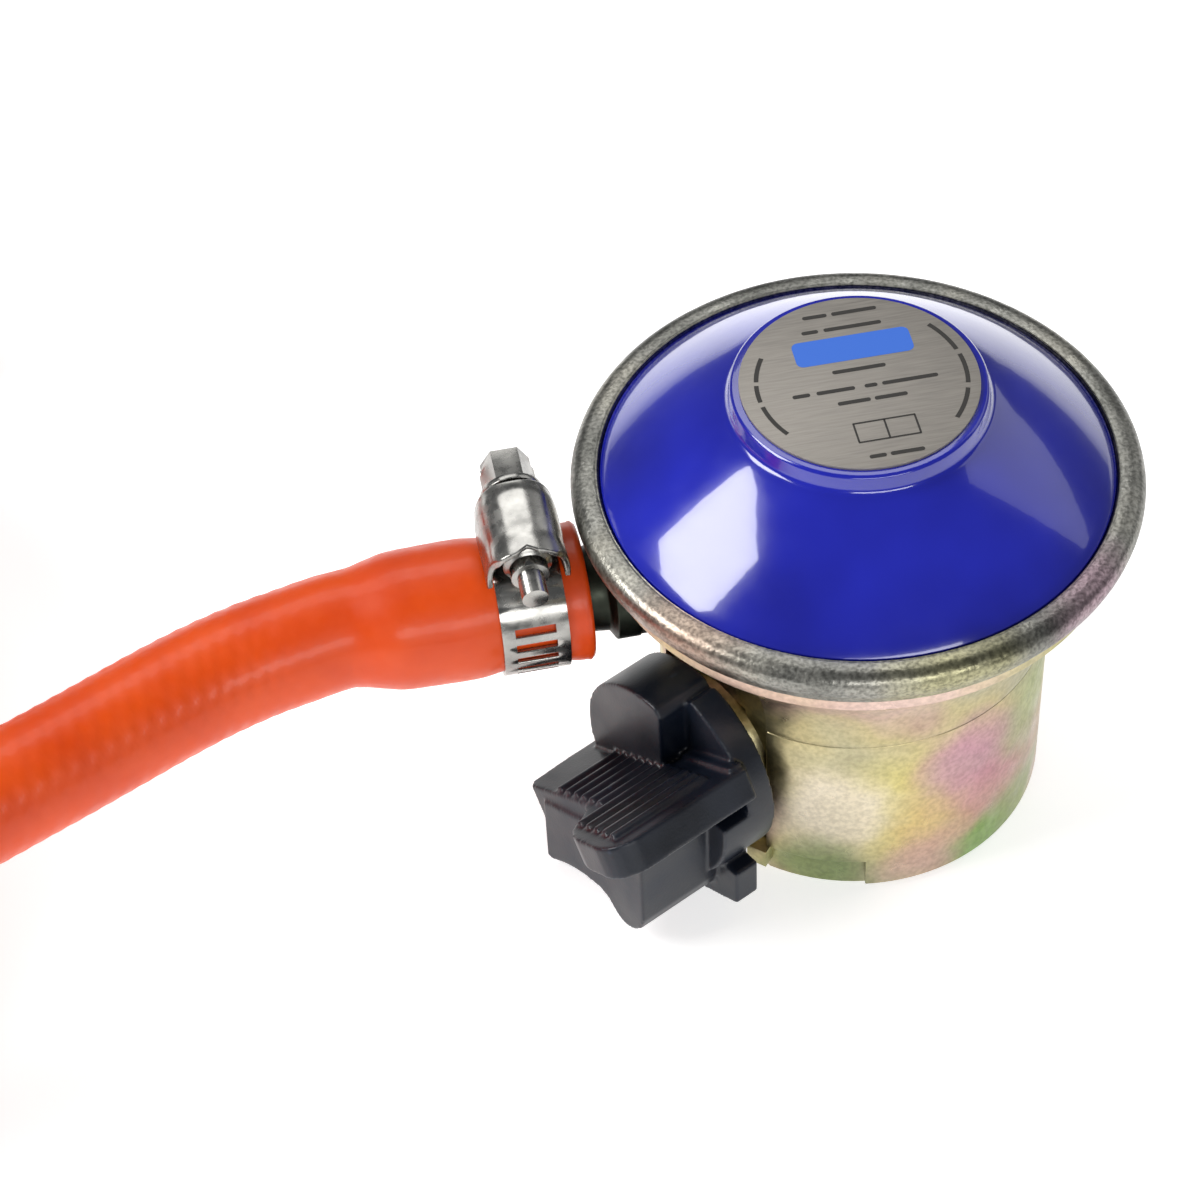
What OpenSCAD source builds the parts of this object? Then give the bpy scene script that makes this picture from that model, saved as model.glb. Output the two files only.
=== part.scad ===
// Clip-on gas regulator with a rubber hose of about 1.5 m on its nozzle. Millimetres, +Z up.
// The origin is on the regulator's axis, in the plane of its lower edge. The nozzle points along -X.

/* [Regulator body] */
// Diameter of the rolled rim
rim_d = 72; // [71:0.5:72.5]
// Diameter of the barrel
barrel_d = 51; // [50.6:0.1:51.4]
// Sheet thickness of the barrel
barrel_t = 0.8; // [0.7:0.05:0.9]
// Height of the label plate's face above the lower edge
body_h = 68.8; // [68.4:0.1:69.2]
// Height of the nozzle's axis
nozzle_z = 39.5; // [39:0.5:40]

/* [Valve socket] */
// Bore of the socket that goes over the cylinder valve
socket_d = 21.2; // [21:0.1:21.4]
// Clear depth of the socket
socket_depth = 10; // [9.5:0.5:10]
// Radius of a lock ball
ball_r = 1.75; // [1.6:0.05:1.8]
// Number of lock balls
ball_count = 3; // [3:1:3]

/* [Switch] */
// Direction in which the switch shaft leaves the body, in degrees from +X
switch_az = 207.5; // [205:0.5:210]
// Height of the switch shaft
switch_z = 18.5; // [18.5:0.5:18.5]
// Diameter of the knob's round part
drum_d = 28; // [26:0.5:29]
// Slope of the ribbed thumb wing, in degrees
wing_slope = 32; // [30:1:34]
// Ribs on the thumb wing
rib_count = 11; // [8:1:11]

/* [Hose] */
// Outer diameter of the hose
hose_d = 15; // [15:0.5:15]
// Bore of the hose
hose_bore_d = 8; // [7.5:0.5:8.5]
// Radius of the coil at the middle of its turns
coil_r = 77.5; // [77.5:0.5:77.5]
// Length of the straight free end
end_len = 34; // [32:1:36]

/* [Hose clips] */
// Width of the clip band
band_w = 8.5; // [8:0.25:9]
// Thickness of the clip band
band_t = 0.7; // [0.6:0.05:0.8]
// Distance between the slots of the band
slot_pitch = 2.2; // [2:0.1:2.5]

/* [Hidden] */
$fn = 64;

// Clearances: a running fit, a gap between pieces that move apart, and a seat inside one body
run_gap = 0.05;
free_gap = 0.3;
seat_gap = 0.02;

// Colours
zinc = [0.66, 0.64, 0.50];
dark_zinc = [0.33, 0.34, 0.28];
enamel = [0.09, 0.12, 0.62];
navy_plastic = [0.07, 0.09, 0.13];
steel = [0.72, 0.72, 0.72];
brass = [0.80, 0.66, 0.32];
black_rubber = [0.08, 0.08, 0.08];
orange_rubber = [0.86, 0.27, 0.06];

// Body heights and radii
rim_r = rim_d / 2;
barrel_r = barrel_d / 2;
barrel_bottom = 0.7;
barrel_top = 29.2;
skirt_r = barrel_r - barrel_t - free_gap;
skirt_in = skirt_r - 1.5;
web_z = 28;
floor_z = 31.5;
block_r = 15.5;
block_z = 14.3;
chamber_r = 6.2;
chamber_top = 26;
flare_z = 45.2;
flare_r = 31;
flange_r = 33.3;
flange_z = 49.05;
flange_top = 50.9;
cover_z = 52;
boss_top = body_h - 0.4;
vent_az = 81;
window_w = 20;
window_top = 37;
notch_to = 53.5;
notch_z = 5.5;

// Valve socket and lock
socket_r = socket_d / 2;
connector_r = 13.5;
seat_z = socket_depth + 2.3;
ball_z = 5;
ball_rest_r = 12.45;
collar_in = 13.7;
collar_out = 18;
collar_z = 3.4;
collar_top = 11.8;
ramp_rise = 0.35;

// Switch shaft: an eccentric that moves the pusher and the collar 3 mm in a quarter turn
lift = 3;
ecc = lift / 2 / sin(45);
ecc_angle = 135;
shaft_r = 3;
disc_r = shaft_r + ecc + 0.08;
crank_pin_r = 1.2;
slot_gap = 0.2;
arm_from = 16.4;
arm_to = 18.6;
boss_r = 9.8;
boss_face = 24.9;
bush_r = 7.5;
bush_from = 19.6;
drum_back = 25.2;
drum_front = 33.6;
drum_r = drum_d / 2;
block_front = 44.5;
wing_back = 28.8;
wing_front = 44;
nose_front = 50;
rib_r = 0.85;
rib_pitch = 2;
pin_at = 30;

// Valve mechanism on the +X side of the body's floor
jet_x = 12;
jet_top = 34.5;
pivot_x = 7;
lever_z = 42.95;
groove_half = 0.95;
arm_y = 3.9;
arm_t = 1.2;
finger_r = 0.75;
stem_r = 2;
stem_top = 59.6;
plate_r = 19;

// Nozzle and hose
nozzle_from = 20.5;
nozzle_collar = 29.2;
hose_start = 35.5;
nozzle_end = 60;
barb_r = 6;
cuff_end = 64;
hose_r = hose_d / 2;
bore_r = hose_bore_d / 2;
pinch_r = 8.5;
bulge_r = 9;
clip_a_x = -43;
clip_a_roll = 4;

// Route of the uncoiled hose from the nozzle to the coil's top turn
run_points = [
    [-64.05, 0, 39.5], [-66.5, 0, 39.5], [-69, -0.2, 39.3], [-73, -0.8, 38.9],
    [-78, -1.6, 38.4], [-84, -3.3, 38], [-90, -5.7, 37.8], [-96, -8.4, 37.6],
    [-102, -11.2, 37.5], [-108, -14, 37.5], [-114, -16.8, 37.5], [-121, -20.1, 37.6],
    [-128, -23.4, 37.8], [-136, -27.1, 38], [-144, -30.8, 38.2], [-152, -34.6, 38.3],
    [-162, -39.2, 38.3], [-172, -43.92, 38.3]
];

// Coil: two full layers and a part of a third, standing on its ties
coil_x = -204.8;
coil_y = 26.3;
tie_t = 0.8;
coil_z = tie_t;
layer_h = hose_d;
top_from = 25;
top_sweep = 270;
tail_from = -186;
end_from = -148;
tie_angles = [135, 245];
tie_w = 4.8;

// Hose clips
slot_len = 5.2;
slot_w = 1.25;
worm_r = 3.1;
housing_w = 10.7;
housing_len = 12;
head_r = 3.46;
clip_b_back = 14;

// ---------------------------------------------------------------- helpers

// Points on an arc of a circle, from one angle to another
function arc(cx, cy, r, from, to, n) =
    [for (i = [0:n]) [cx + r * cos(from + (to - from) * i / n), cy + r * sin(from + (to - from) * i / n)]];

// Points from p to q that bow to the left of the line by the given height
function bow(p, q, h, n) =
    let (d = q - p, m = [-d[1], d[0]] / norm(d))
    [for (i = [0:n]) p + d * i / n + m * h * 4 * (i / n) * (1 - i / n)];

function unit(v) = v / norm(v);

// Tangent of a route at point i
function heading(p, i) = unit(p[min(i + 1, len(p) - 1)] - p[max(i - 1, 0)]);

// Two directions across the route, one of them level
function across(t) = unit(cross([0, 0, 1], t));
function above(t) = cross(t, across(t));

// A closed round tube swept along the points of a route
module swept(points, r, sides) {
    n = len(points);
    rings = [
        for (i = [0:n - 1]) let (t = heading(points, i), u = across(t), w = above(t))
            for (k = [0:sides - 1])
                points[i] + r * (cos(360 * (k + 0.5) / sides) * u + sin(360 * (k + 0.5) / sides) * w)
    ];
    walls = [
        for (i = [0:n - 2]) for (k = [0:sides - 1])
            let (a = i * sides + k, b = i * sides + (k + 1) % sides)
            [a, a + sides, b + sides, b]
    ];
    caps = [[for (k = [0:sides - 1]) k], [for (k = [sides - 1:-1:0]) (n - 1) * sides + k]];
    polyhedron(rings, concat(walls, caps), convexity = 4);
}

// A ring between two radii and two heights
module tube(r_out, r_in, z0, z1) {
    rotate_extrude() translate([r_in, z0]) square([r_out - r_in, z1 - z0]);
}

// A round coil spring from z0 to z1
module spring(mean_r, wire_r, z0, z1, turns) {
    steps = 16;
    rise = (z1 - z0 - 2 * wire_r) / (turns * steps);
    pts = [
        for (i = [0:turns * steps])
            [mean_r * cos(360 * i / steps), mean_r * sin(360 * i / steps), z0 + wire_r + rise * i]
    ];
    swept(pts, wire_r, 6);
}

// Places children in the switch's frame: x to its right as seen from outside, y up from the
// shaft, z outwards along the shaft from the regulator's axis
module on_switch() {
    rotate([0, 0, switch_az]) translate([0, 0, switch_z]) rotate([90, 0, 90]) children();
}

// A cylinder on the switch shaft between two distances from the regulator's axis
module shaft_part(r, from, to) {
    on_switch() translate([0, 0, from]) cylinder(r = r, h = to - from);
}

// A cylinder along -X at the nozzle's height
module nozzle_part(r, from, to) {
    translate([-to, 0, nozzle_z]) rotate([0, 90, 0]) cylinder(r = r, h = to - from);
}

// A cylinder along Y, centred on Y = 0
module cross_rod(x, z, r, half) {
    translate([x, -half, z]) rotate([-90, 0, 0]) cylinder(r = r, h = 2 * half);
}

// ---------------------------------------------------------------- housing

module body_casting() {
    sag = barrel_top + 0.8;
    rise = flare_z - sag;
    swell = flare_r - barrel_r;
    flare_arc_r = (swell * swell + rise * rise) / (2 * swell);
    turn = asin(rise / flare_arc_r);
    outline = concat(
        [[skirt_in, 0], [skirt_r, 0], [skirt_r, barrel_top + 0.1], [barrel_r, barrel_top + 0.1]],
        arc(barrel_r + flare_arc_r, sag, flare_arc_r, 180, 180 - turn, 8),
        [
            [33, flare_z + 0.4], [33.4, flare_z + 1], [33.4, 47.7], [31.6, 47.7], [31.6, flange_z],
            [flange_r, flange_z], [flange_r, flange_top], [29.5, flange_top], [29.5, 48.2],
            [26.5, 47.2], [20.5, 38], [20.5, floor_z], [0, floor_z],
            [0, chamber_top], [chamber_r, chamber_top], [chamber_r, block_z], [block_r, block_z],
            [block_r, web_z], [skirt_in, web_z]
        ]
    );
    color(zinc) difference() {
        union() {
            difference() {
                rotate_extrude() polygon(outline);
                on_switch() translate([-window_w / 2, -switch_z - 1, skirt_in - 0.5])
                    cube([window_w, window_top + 1, 20]);
            }
            shaft_part(boss_r, bush_from, boss_face);
            nozzle_part(7, 22, nozzle_collar - 1.1);
            rotate([0, 0, switch_az + 21]) translate([skirt_in + 0.2, -1.4, 2.2]) cube([3.2, 2.8, 3]);
        }
        nozzle_part(6 + seat_gap, nozzle_from - 2, 30);
        nozzle_part(7 + seat_gap, nozzle_collar - 1.1, 36);
        shaft_part(shaft_r + run_gap, chamber_r - 1, block_r + 1);
        shaft_part(4.05, 9.9, 11.1);
        shaft_part(bush_r + seat_gap, bush_from - 1, boss_face + 1);
        on_switch() translate([0, 8.65, 20.5]) cylinder(r = 1.02, h = 5);
        translate([jet_x, 0, 29.4]) cylinder(r = 3 + seat_gap, h = 3);
        translate([4, 0, 24]) rotate([0, atan2(jet_x - 4, 5.5), 0]) cylinder(r = 1.1, h = 9.7);
        for (y = [-4.5, 4.5]) translate([16.6, y, 28.8]) cylinder(r = 1 + seat_gap, h = 3);
    }
}

module barrel() {
    color(zinc) difference() {
        tube(barrel_r, barrel_r - barrel_t, barrel_bottom, barrel_top);
        on_switch() translate([-window_w / 2, -switch_z - 1, 0]) cube([window_w, 40, 40]);
        rotate([0, 0, switch_az + 10]) translate([0, 0, -1]) rotate_extrude(angle = notch_to - 10)
            translate([10, 0]) square([30, notch_z + 1]);
    }
}

module crimp_rim() {
    color(zinc) rotate_extrude() polygon(concat(
        [[31.9, 48.2], [33.4, 48.2]],
        bow([34.3, 48.7], [rim_r - 0.3, 51], 0.25, 3),
        arc(rim_r - 2, 52.5, 2, -20, 90, 8),
        [[32.8, 54.5], [32.4, 54.2], [32.4, 53.3], [33.5, 53.3], [33.5, 49], [31.9, 49]]
    ));
}

module top_cover() {
    outline = concat(
        [[30.9, cover_z], [33.3, cover_z], [33.3, 53.2], [32.2, 53.2]],
        bow([32.2, 54.2], [17.6, 65.4], -0.5, 6),
        arc(17.3, 66.9, 1.2, -110, -170, 4),
        [[15.9, boss_top - 0.3], [15.6, boss_top], [11.2, boss_top], [11.2, 58], [13, 58]],
        [[13, 63.4], [15.6, 64.6], [17, 64.2], [30.9, 53.6]]
    );
    color(enamel) difference() {
        rotate_extrude() polygon(outline);
        rotate([0, 0, vent_az]) translate([18.7, 0, 50]) cylinder(r = 0.6, h = 20);
    }
}

module label_plate() {
    color(steel) translate([0, 0, boss_top]) cylinder(r = 14.75, h = body_h - boss_top);
}

module adjusting_screw() {
    color(zinc) difference() {
        translate([0, 0, 61]) cylinder(r = 11.1, h = 4);
        translate([0, 0, 60]) cylinder(r = 4, h = 6);
        for (a = [0, 90]) rotate([0, 0, a]) translate([-8, -1, 63.4]) cube([16, 2, 3]);
    }
}

// ---------------------------------------------------------------- valve socket and lock

module valve_connector() {
    color(brass) difference() {
        union() {
            tube(connector_r, socket_r, 0, socket_depth);
            tube(connector_r, socket_r + 0.4, socket_depth - 0.01, seat_z + 0.01);
            tube(connector_r, 2.3, seat_z, block_z - seat_gap);
            tube(chamber_r - seat_gap, 4.6, block_z - 0.5, block_z + 1);
        }
        for (i = [1:ball_count]) rotate([0, 0, switch_az + 60 + 360 * (i - 1) / ball_count])
            translate([9, 0, ball_z]) rotate([0, 90, 0]) cylinder(r = ball_r + 0.2, h = 6);
    }
}

module socket_seal() {
    color(black_rubber) tube(socket_r + 0.35, 4.6, socket_depth + 0.1, seat_z - 0.05);
}

// A collar that pushes the balls in with its tapered bore. Its arm hangs on the shaft's eccentric
module lock_collar() {
    ramp_top = ball_z + (14.5 - collar_in) / ramp_rise;
    outline = [
        [14.5 + (ball_z - collar_z) * ramp_rise, collar_z], [collar_out, collar_z],
        [collar_out, collar_top], [collar_in, collar_top], [collar_in, ramp_top]
    ];
    window = disc_r + slot_gap;
    mid_h = ecc * (cos(ecc_angle) - 1) / 2;
    color(steel) difference() {
        union() {
            rotate_extrude() polygon(outline);
            on_switch() translate([mid_h - 8, 6 - switch_z, arm_from])
                cube([16, 20.9, arm_to - arm_from]);
        }
        on_switch() translate([mid_h - window - 0.3, lift / 2 - window, arm_from - 1])
            cube([2 * window + 0.6, 2 * window, arm_to - arm_from + 2]);
        translate([0, 0, collar_top + 0.01]) cylinder(r = block_r + 0.4, h = 20);
    }
}

module lock_ball(i) {
    color(steel) rotate([0, 0, switch_az + 60 + 360 * (i - 1) / ball_count])
        translate([ball_rest_r, 0, ball_z]) sphere(r = ball_r);
}

module valve_pusher() {
    color(brass) difference() {
        union() {
            translate([0, 0, 10.6]) cylinder(r = 2, h = 8);
            translate([0, 0, 17.8]) cylinder(r = 4.4, h = 5.2);
        }
        on_switch() translate([-ecc - crank_pin_r - slot_gap, lift / 2 - crank_pin_r - slot_gap, -6])
            cube([ecc + 2 * crank_pin_r, 2 * (crank_pin_r + slot_gap), 12]);
    }
}

// ---------------------------------------------------------------- switch

module cam_shaft() {
    offset_x = ecc * cos(ecc_angle);
    offset_y = ecc * sin(ecc_angle);
    color(brass) difference() {
        union() {
            shaft_part(shaft_r, 5, 33);
            on_switch() translate([offset_x, offset_y, arm_from - 0.1])
                cylinder(r = disc_r, h = arm_to - arm_from + 0.2);
            on_switch() translate([offset_x, offset_y, -2]) cylinder(r = crank_pin_r, h = 7.1);
        }
        on_switch() translate([0, 0, pin_at]) rotate([90, 0, 0])
            cylinder(r = 1 + seat_gap, h = 20, center = true);
    }
}

module shaft_bush() {
    color(brass) difference() {
        shaft_part(bush_r, bush_from, boss_face);
        shaft_part(shaft_r + run_gap, bush_from - 1, boss_face + 1);
    }
}

module shaft_seal() {
    color(black_rubber) on_switch() translate([0, 0, 10.5])
        rotate_extrude() translate([shaft_r + 0.53, 0]) circle(r = 0.49);
}

module detent_ball() {
    color(steel) on_switch() translate([0, 8.65, boss_face - 0.95]) sphere(r = 0.98);
}

module detent_spring() {
    color(steel) on_switch() translate([0, 8.65, 0]) spring(0.7, 0.2, 20.6, boss_face - 2, 4);
}

module knob_pin() {
    color(steel) on_switch() translate([0, 0, pin_at]) rotate([90, 0, 0])
        cylinder(r = 1, h = 14, center = true);
}

// Outline of the lever block below the drum: straight sides and an arched foot
module block_outline() {
    polygon([
        [-10.2, -17.4], [-9.2, -17.4], [-7, -15.9], [-4.5, -14.5], [-1.5, -13.4], [1.5, -12.9],
        [3.2, -13.4], [4.5, -14.6], [5.5, -15.3], [6.8, -15.5], [8.4, -14.8], [9.8, -13.2], [10.5, -11],
        [10.5, 4.5], [-10.2, -6]
    ]);
}

// The wing seen from above, across its slope and outwards
module wing_outline() {
    polygon(concat(
        [[-17.8, 30], [-17.2, 43], [-16.2, 44]],
        [[-2.4, 43.9], [-0.8, 44.8]],
        arc(5.4, nose_front - 5.2, 5.2, 165, 95, 4),
        arc(9.8, nose_front - 4, 4.2, 88, 5, 5),
        [[14.2, wing_back], [12.6, wing_back - 0.6], [-3, wing_back + 0.6]]
    ));
}

// Places children in the wing's frame: x across the slope, y off its face, z outwards
module on_wing() {
    on_switch() translate([0, 3, 0]) rotate([0, 0, wing_slope]) children();
}

module switch_knob() {
    rib_front = wing_front - 0.6;
    color(navy_plastic) difference() {
        union() {
            difference() {
                shaft_part(drum_r, drum_back, drum_front);
                on_switch() translate([1.3, 2, wing_back + 0.6]) cube([20, 20, 10]);
            }
            on_switch() translate([0, 0, drum_front - 1.5])
                linear_extrude(block_front - drum_front + 1.5) block_outline();
            on_switch() translate([0, 0, 28.4]) linear_extrude(3.6)
                polygon([[14.3, -7.8], [14.3, -13.9], [8, -17], [3, -17.3], [3, -9], [9, -7.8]]);
            on_wing() rotate([90, 0, 0]) translate([0, 0, 0.6]) linear_extrude(4.6) wing_outline();
            on_wing() rotate([90, 0, 0]) translate([0, 0, 0.6]) linear_extrude(7.4) intersection() {
                wing_outline();
                translate([-18, 29]) square([10, 20]);
            }
            on_wing() translate([-3, -1.6, wing_back]) cube([16.6, 1.7, 2]);
            for (i = [0:rib_count - 1]) let (x = -9.4 + rib_pitch * i, front = x < 1 ? 0 : 4.4)
                on_wing() translate([x, -0.7, 32.8])
                    cylinder(r = rib_r, h = rib_front + front - 32.8);
        }
        on_switch() translate([1.3, drum_r + 0.6, drum_back - 1]) rotate([0, 0, 45])
            translate([-1.2, -1.2, 0]) cube([2.4, 2.4, drum_front - drum_back + 2]);
        shaft_part(shaft_r + seat_gap, drum_back - 1, 33.1);
        on_switch() translate([0, 0, pin_at]) rotate([90, 0, 0])
            cylinder(r = 1 + seat_gap, h = 14.1, center = true);
        for (a = [90, 0]) on_switch() rotate([0, 0, a - 90]) translate([0, 8.65, drum_back])
            sphere(r = 0.8);
    }
}

// ---------------------------------------------------------------- valve mechanism

module inlet_jet() {
    color(brass) difference() {
        union() {
            translate([jet_x, 0, 29.5]) cylinder(r = 3, h = 4);
            translate([jet_x, 0, 33.5]) cylinder(r = 1.6, h = jet_top - 33.5);
        }
        translate([jet_x, 0, 29]) cylinder(r = 0.6, h = 6);
    }
}

// Two discs on a rod with a groove between them that a lever finger fits into
module grooved(x, rod_r, disc, z0, z1) {
    translate([x, 0, z0]) cylinder(r = rod_r, h = z1 - z0);
    for (z = [lever_z - groove_half - 1, lever_z + groove_half]) translate([x, 0, z])
        cylinder(r = disc, h = 1);
}

module valve_plunger() {
    color(brass) union() {
        grooved(jet_x, 1.6, 2.4, 37, lever_z + groove_half + 1);
        translate([jet_x, 0, 36.2]) cylinder(r = 2.8, h = 1.2);
    }
}

module valve_pad() {
    color(black_rubber) translate([jet_x, 0, jet_top + 0.8]) cylinder(r = 2.6, h = 36.18 - jet_top - 0.8);
}

module valve_lever() {
    color(steel) difference() {
        union() {
            cross_rod(pivot_x, lever_z, 1.6, arm_y + arm_t);
            for (side = [-1, 1]) {
                translate([-1.2, side > 0 ? arm_y : -arm_y - arm_t, lever_z - 0.8])
                    cube([jet_x + 2.4, arm_t, 1.6]);
                translate([0, side * (stem_r + 0.4), lever_z]) rotate([-90 * side, 0, 0])
                    cylinder(r = finger_r, h = arm_y + arm_t - stem_r - 0.4);
                translate([jet_x, side * 2, lever_z]) rotate([-90 * side, 0, 0])
                    cylinder(r = finger_r, h = arm_y + arm_t - 2);
            }
        }
        cross_rod(pivot_x, lever_z, 1 + run_gap, 8);
    }
}

module lever_pin() {
    color(steel) cross_rod(pivot_x, lever_z, 1, 6.9);
}

// Base plate with two ears for the pivot and a bridge that guides the plunger
module lever_bracket() {
    color(steel) difference() {
        union() {
            translate([3, -6.6, floor_z]) cube([15.4, 13.2, 1.2]);
            for (y = [-6.6, 5.4]) translate([4.5, y, floor_z]) cube([10, 1.2, 14]);
            translate([jet_x - 3, -6, 38.4]) cube([5.5, 12, 1.2]);
        }
        translate([jet_x, 0, floor_z - 1]) cylinder(r = 3.1, h = 3);
        translate([jet_x, 0, 37]) cylinder(r = 1.9, h = 4);
        cross_rod(pivot_x, lever_z, 1 + seat_gap, 8);
        for (y = [-4.5, 4.5]) translate([16.6, y, floor_z - 1]) cylinder(r = 1.1, h = 3);
    }
}

module bracket_screws() {
    color(steel) for (y = [-4.5, 4.5]) difference() {
        union() {
            translate([16.6, y, 29]) cylinder(r = 1, h = 4);
            translate([16.6, y, floor_z + 1.22]) cylinder(r = 1.7, h = 1.3);
        }
        translate([16.2, y - 2, floor_z + 2]) cube([0.8, 4, 2]);
    }
}

// Rubber disc held at its edge, with one rolled convolution
module diaphragm() {
    t = 0.8;
    top = concat(
        [[33.2, 51.8], [28.5, 51.8]],
        bow([27.8, 51.5], [21.2, 51.5], 1.2, 6),
        [[20.5, 51.8], [2.6, 51.8]]
    );
    low = [for (i = [len(top) - 1:-1:0]) top[i] - [0, t]];
    color(black_rubber) rotate_extrude() polygon(concat(top, low));
}

module diaphragm_plate() {
    color(steel) rotate_extrude() polygon([
        [2.4, 51.9], [plate_r, 51.9], [plate_r + 0.6, 52.4], [plate_r + 0.6, 53.6],
        [plate_r - 0.2, 53.6], [plate_r - 0.4, 52.7], [2.4, 52.7]
    ]);
}

module diaphragm_stem() {
    color(brass) union() {
        grooved(0, stem_r, 3.6, lever_z - groove_half - 1, stem_top);
        translate([0, 0, 49.6]) cylinder(r = 6, h = 1);
    }
}

module relief_nut() {
    color(brass) tube(4.2, stem_r + seat_gap, 58.4, 59.4);
}

module relief_spring() {
    color(steel) spring(3.1, 0.4, 52.8, 58.3, 5);
}

module main_spring() {
    color(steel) spring(8.6, 0.8, 52.8, 60.9, 4);
}

// ---------------------------------------------------------------- nozzle and hose

module outlet_nozzle() {
    barbs = [38.5, 43, 47.5, 52, 56.5];
    outline = concat(
        [[nozzle_from, 3], [nozzle_from, 6], [nozzle_collar, 6], [nozzle_collar, 7]],
        [[hose_start - 3.3, 7], [hose_start - 2.5, barb_r - 0.3], [hose_start - 0.3, barb_r - 0.5]],
        [for (x = barbs) each [[x, barb_r - 0.5], [x, barb_r], [x + 3.4, barb_r - 0.5]]],
        [[nozzle_end, barb_r - 1], [nozzle_end, 3]]
    );
    color(dark_zinc) translate([0, 0, nozzle_z]) rotate([0, -90, 0])
        rotate_extrude() polygon([for (p = outline) [p[1], p[0]]]);
}

module nozzle_seal() {
    color(black_rubber) difference() {
        nozzle_part(6.8, nozzle_collar - 1.05, nozzle_collar - 0.05);
        nozzle_part(6 + seat_gap, nozzle_collar - 2, nozzle_collar + 1);
    }
}

// First stretch of hose: stretched over the nozzle, pinched by the clip
module hose_cuff() {
    pinch_from = -clip_a_x - band_w / 2;
    pinch_to = -clip_a_x + band_w / 2;
    outline = concat(
        [[hose_start, barb_r + seat_gap], [hose_start, bulge_r - 0.5], [hose_start + 0.5, bulge_r]],
        [[pinch_from - 0.7, bulge_r], [pinch_from, pinch_r], [pinch_to, pinch_r]],
        [[pinch_to + 1.5, bulge_r], [nozzle_end - 3, bulge_r], [nozzle_end, bulge_r - 0.3]],
        [[cuff_end, hose_r], [cuff_end, bore_r], [nozzle_end + 0.4, bore_r]],
        [[nozzle_end + 0.3, barb_r + seat_gap]]
    );
    color(orange_rubber) translate([0, 0, nozzle_z]) rotate([0, -90, 0])
        rotate_extrude() polygon([for (p = outline) [p[1], p[0]]]);
}

module hose_run() {
    color(orange_rubber) swept(run_points, hose_r, 12);
}

// Places children at the coil's centre on the table
module at_coil() {
    translate([coil_x, coil_y, 0]) children();
}

module hose_coil() {
    color(orange_rubber) at_coil() tube(coil_r + hose_r, coil_r - hose_r, coil_z, coil_z + 2 * layer_h);
}

module hose_top_turn() {
    color(orange_rubber) at_coil() translate([0, 0, coil_z + 2 * layer_h])
        rotate([0, 0, top_from]) rotate_extrude(angle = top_sweep)
            translate([coil_r - hose_r, 0]) square([hose_d, layer_h]);
}

// A cylinder along +X in line with the end of the coil's lowest turn
module end_part(r, from, to) {
    translate([from, coil_y + coil_r, coil_z + hose_r]) rotate([0, 90, 0]) cylinder(r = r, h = to - from);
}

module hose_tail() {
    color(orange_rubber) end_part(hose_r, tail_from, end_from);
}

module hose_end() {
    color(orange_rubber) difference() {
        end_part(hose_r, end_from + 0.05, end_from + end_len);
        end_part(bore_r, end_from + 3, end_from + end_len + 1);
    }
}

module hose_ties() {
    h = 3 * layer_h;
    color(black_rubber) at_coil() for (a = tie_angles) rotate([0, 0, a]) translate([coil_r, 0, 0]) {
        difference() {
            translate([-hose_r - 0.05 - tie_t, -tie_w / 2, 0])
                cube([hose_d + 0.1 + 2 * tie_t, tie_w, h + 2 * tie_t + 0.05]);
            translate([-hose_r - 0.05, -tie_w, tie_t - 0.02]) cube([hose_d + 0.1, 2 * tie_w, h + 0.05]);
        }
        translate([-hose_r - 0.05 - tie_t - 4, -3.5, 36]) cube([4.05, 7, 6]);
    }
}

// ---------------------------------------------------------------- hose clips
// A clip is drawn round the X axis, its screw on top with the head towards +Y

module clip_band(r) {
    arc_len = 2 * 180 / (PI * (r + band_t / 2)) * slot_pitch / 2;
    steps = floor(230 / arc_len);
    color(steel) difference() {
        union() {
            rotate([0, 90, 0]) translate([0, 0, -band_w / 2]) tube(r + band_t, r + seat_gap, 0, band_w);
            rotate([0, 90, 0]) rotate([0, 0, 100]) translate([0, 0, -band_w / 2])
                rotate_extrude(angle = 40) translate([r + band_t - 0.05, 0]) square([band_t, band_w]);
        }
        for (i = [0:steps]) rotate([65 + i * arc_len, 0, 0])
            translate([-slot_len / 2, -slot_w / 2, r - 1]) cube([slot_len, slot_w, 4]);
    }
}

// Height of the screw's axis above the hose's axis
function screw_h(r) = r + band_t + worm_r + free_gap + 0.05;

module clip_housing(r) {
    axis_h = screw_h(r);
    wall = worm_r + free_gap;
    base = r + band_t + 0.02;
    color(steel) difference() {
        union() {
            translate([0, housing_len / 2, axis_h]) rotate([90, 0, 0])
                cylinder(r = wall + 1, h = housing_len);
            translate([-housing_w / 2, -housing_len / 2, base]) cube([housing_w, housing_len, 0.9]);
            translate([-wall - 1.2, -housing_len / 2, base])
                cube([2 * wall + 2.4, housing_len, axis_h - base]);
        }
        rotate([0, 90, 0]) cylinder(r = base, h = 2 * housing_w, center = true);
        translate([0, housing_len, axis_h]) rotate([90, 0, 0]) cylinder(r = wall, h = 2 * housing_len);
        translate([-wall + 1.2, -housing_len / 2 + 1, r]) cube([2 * wall - 2.4, housing_len - 2, axis_h - r]);
    }
}

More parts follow.
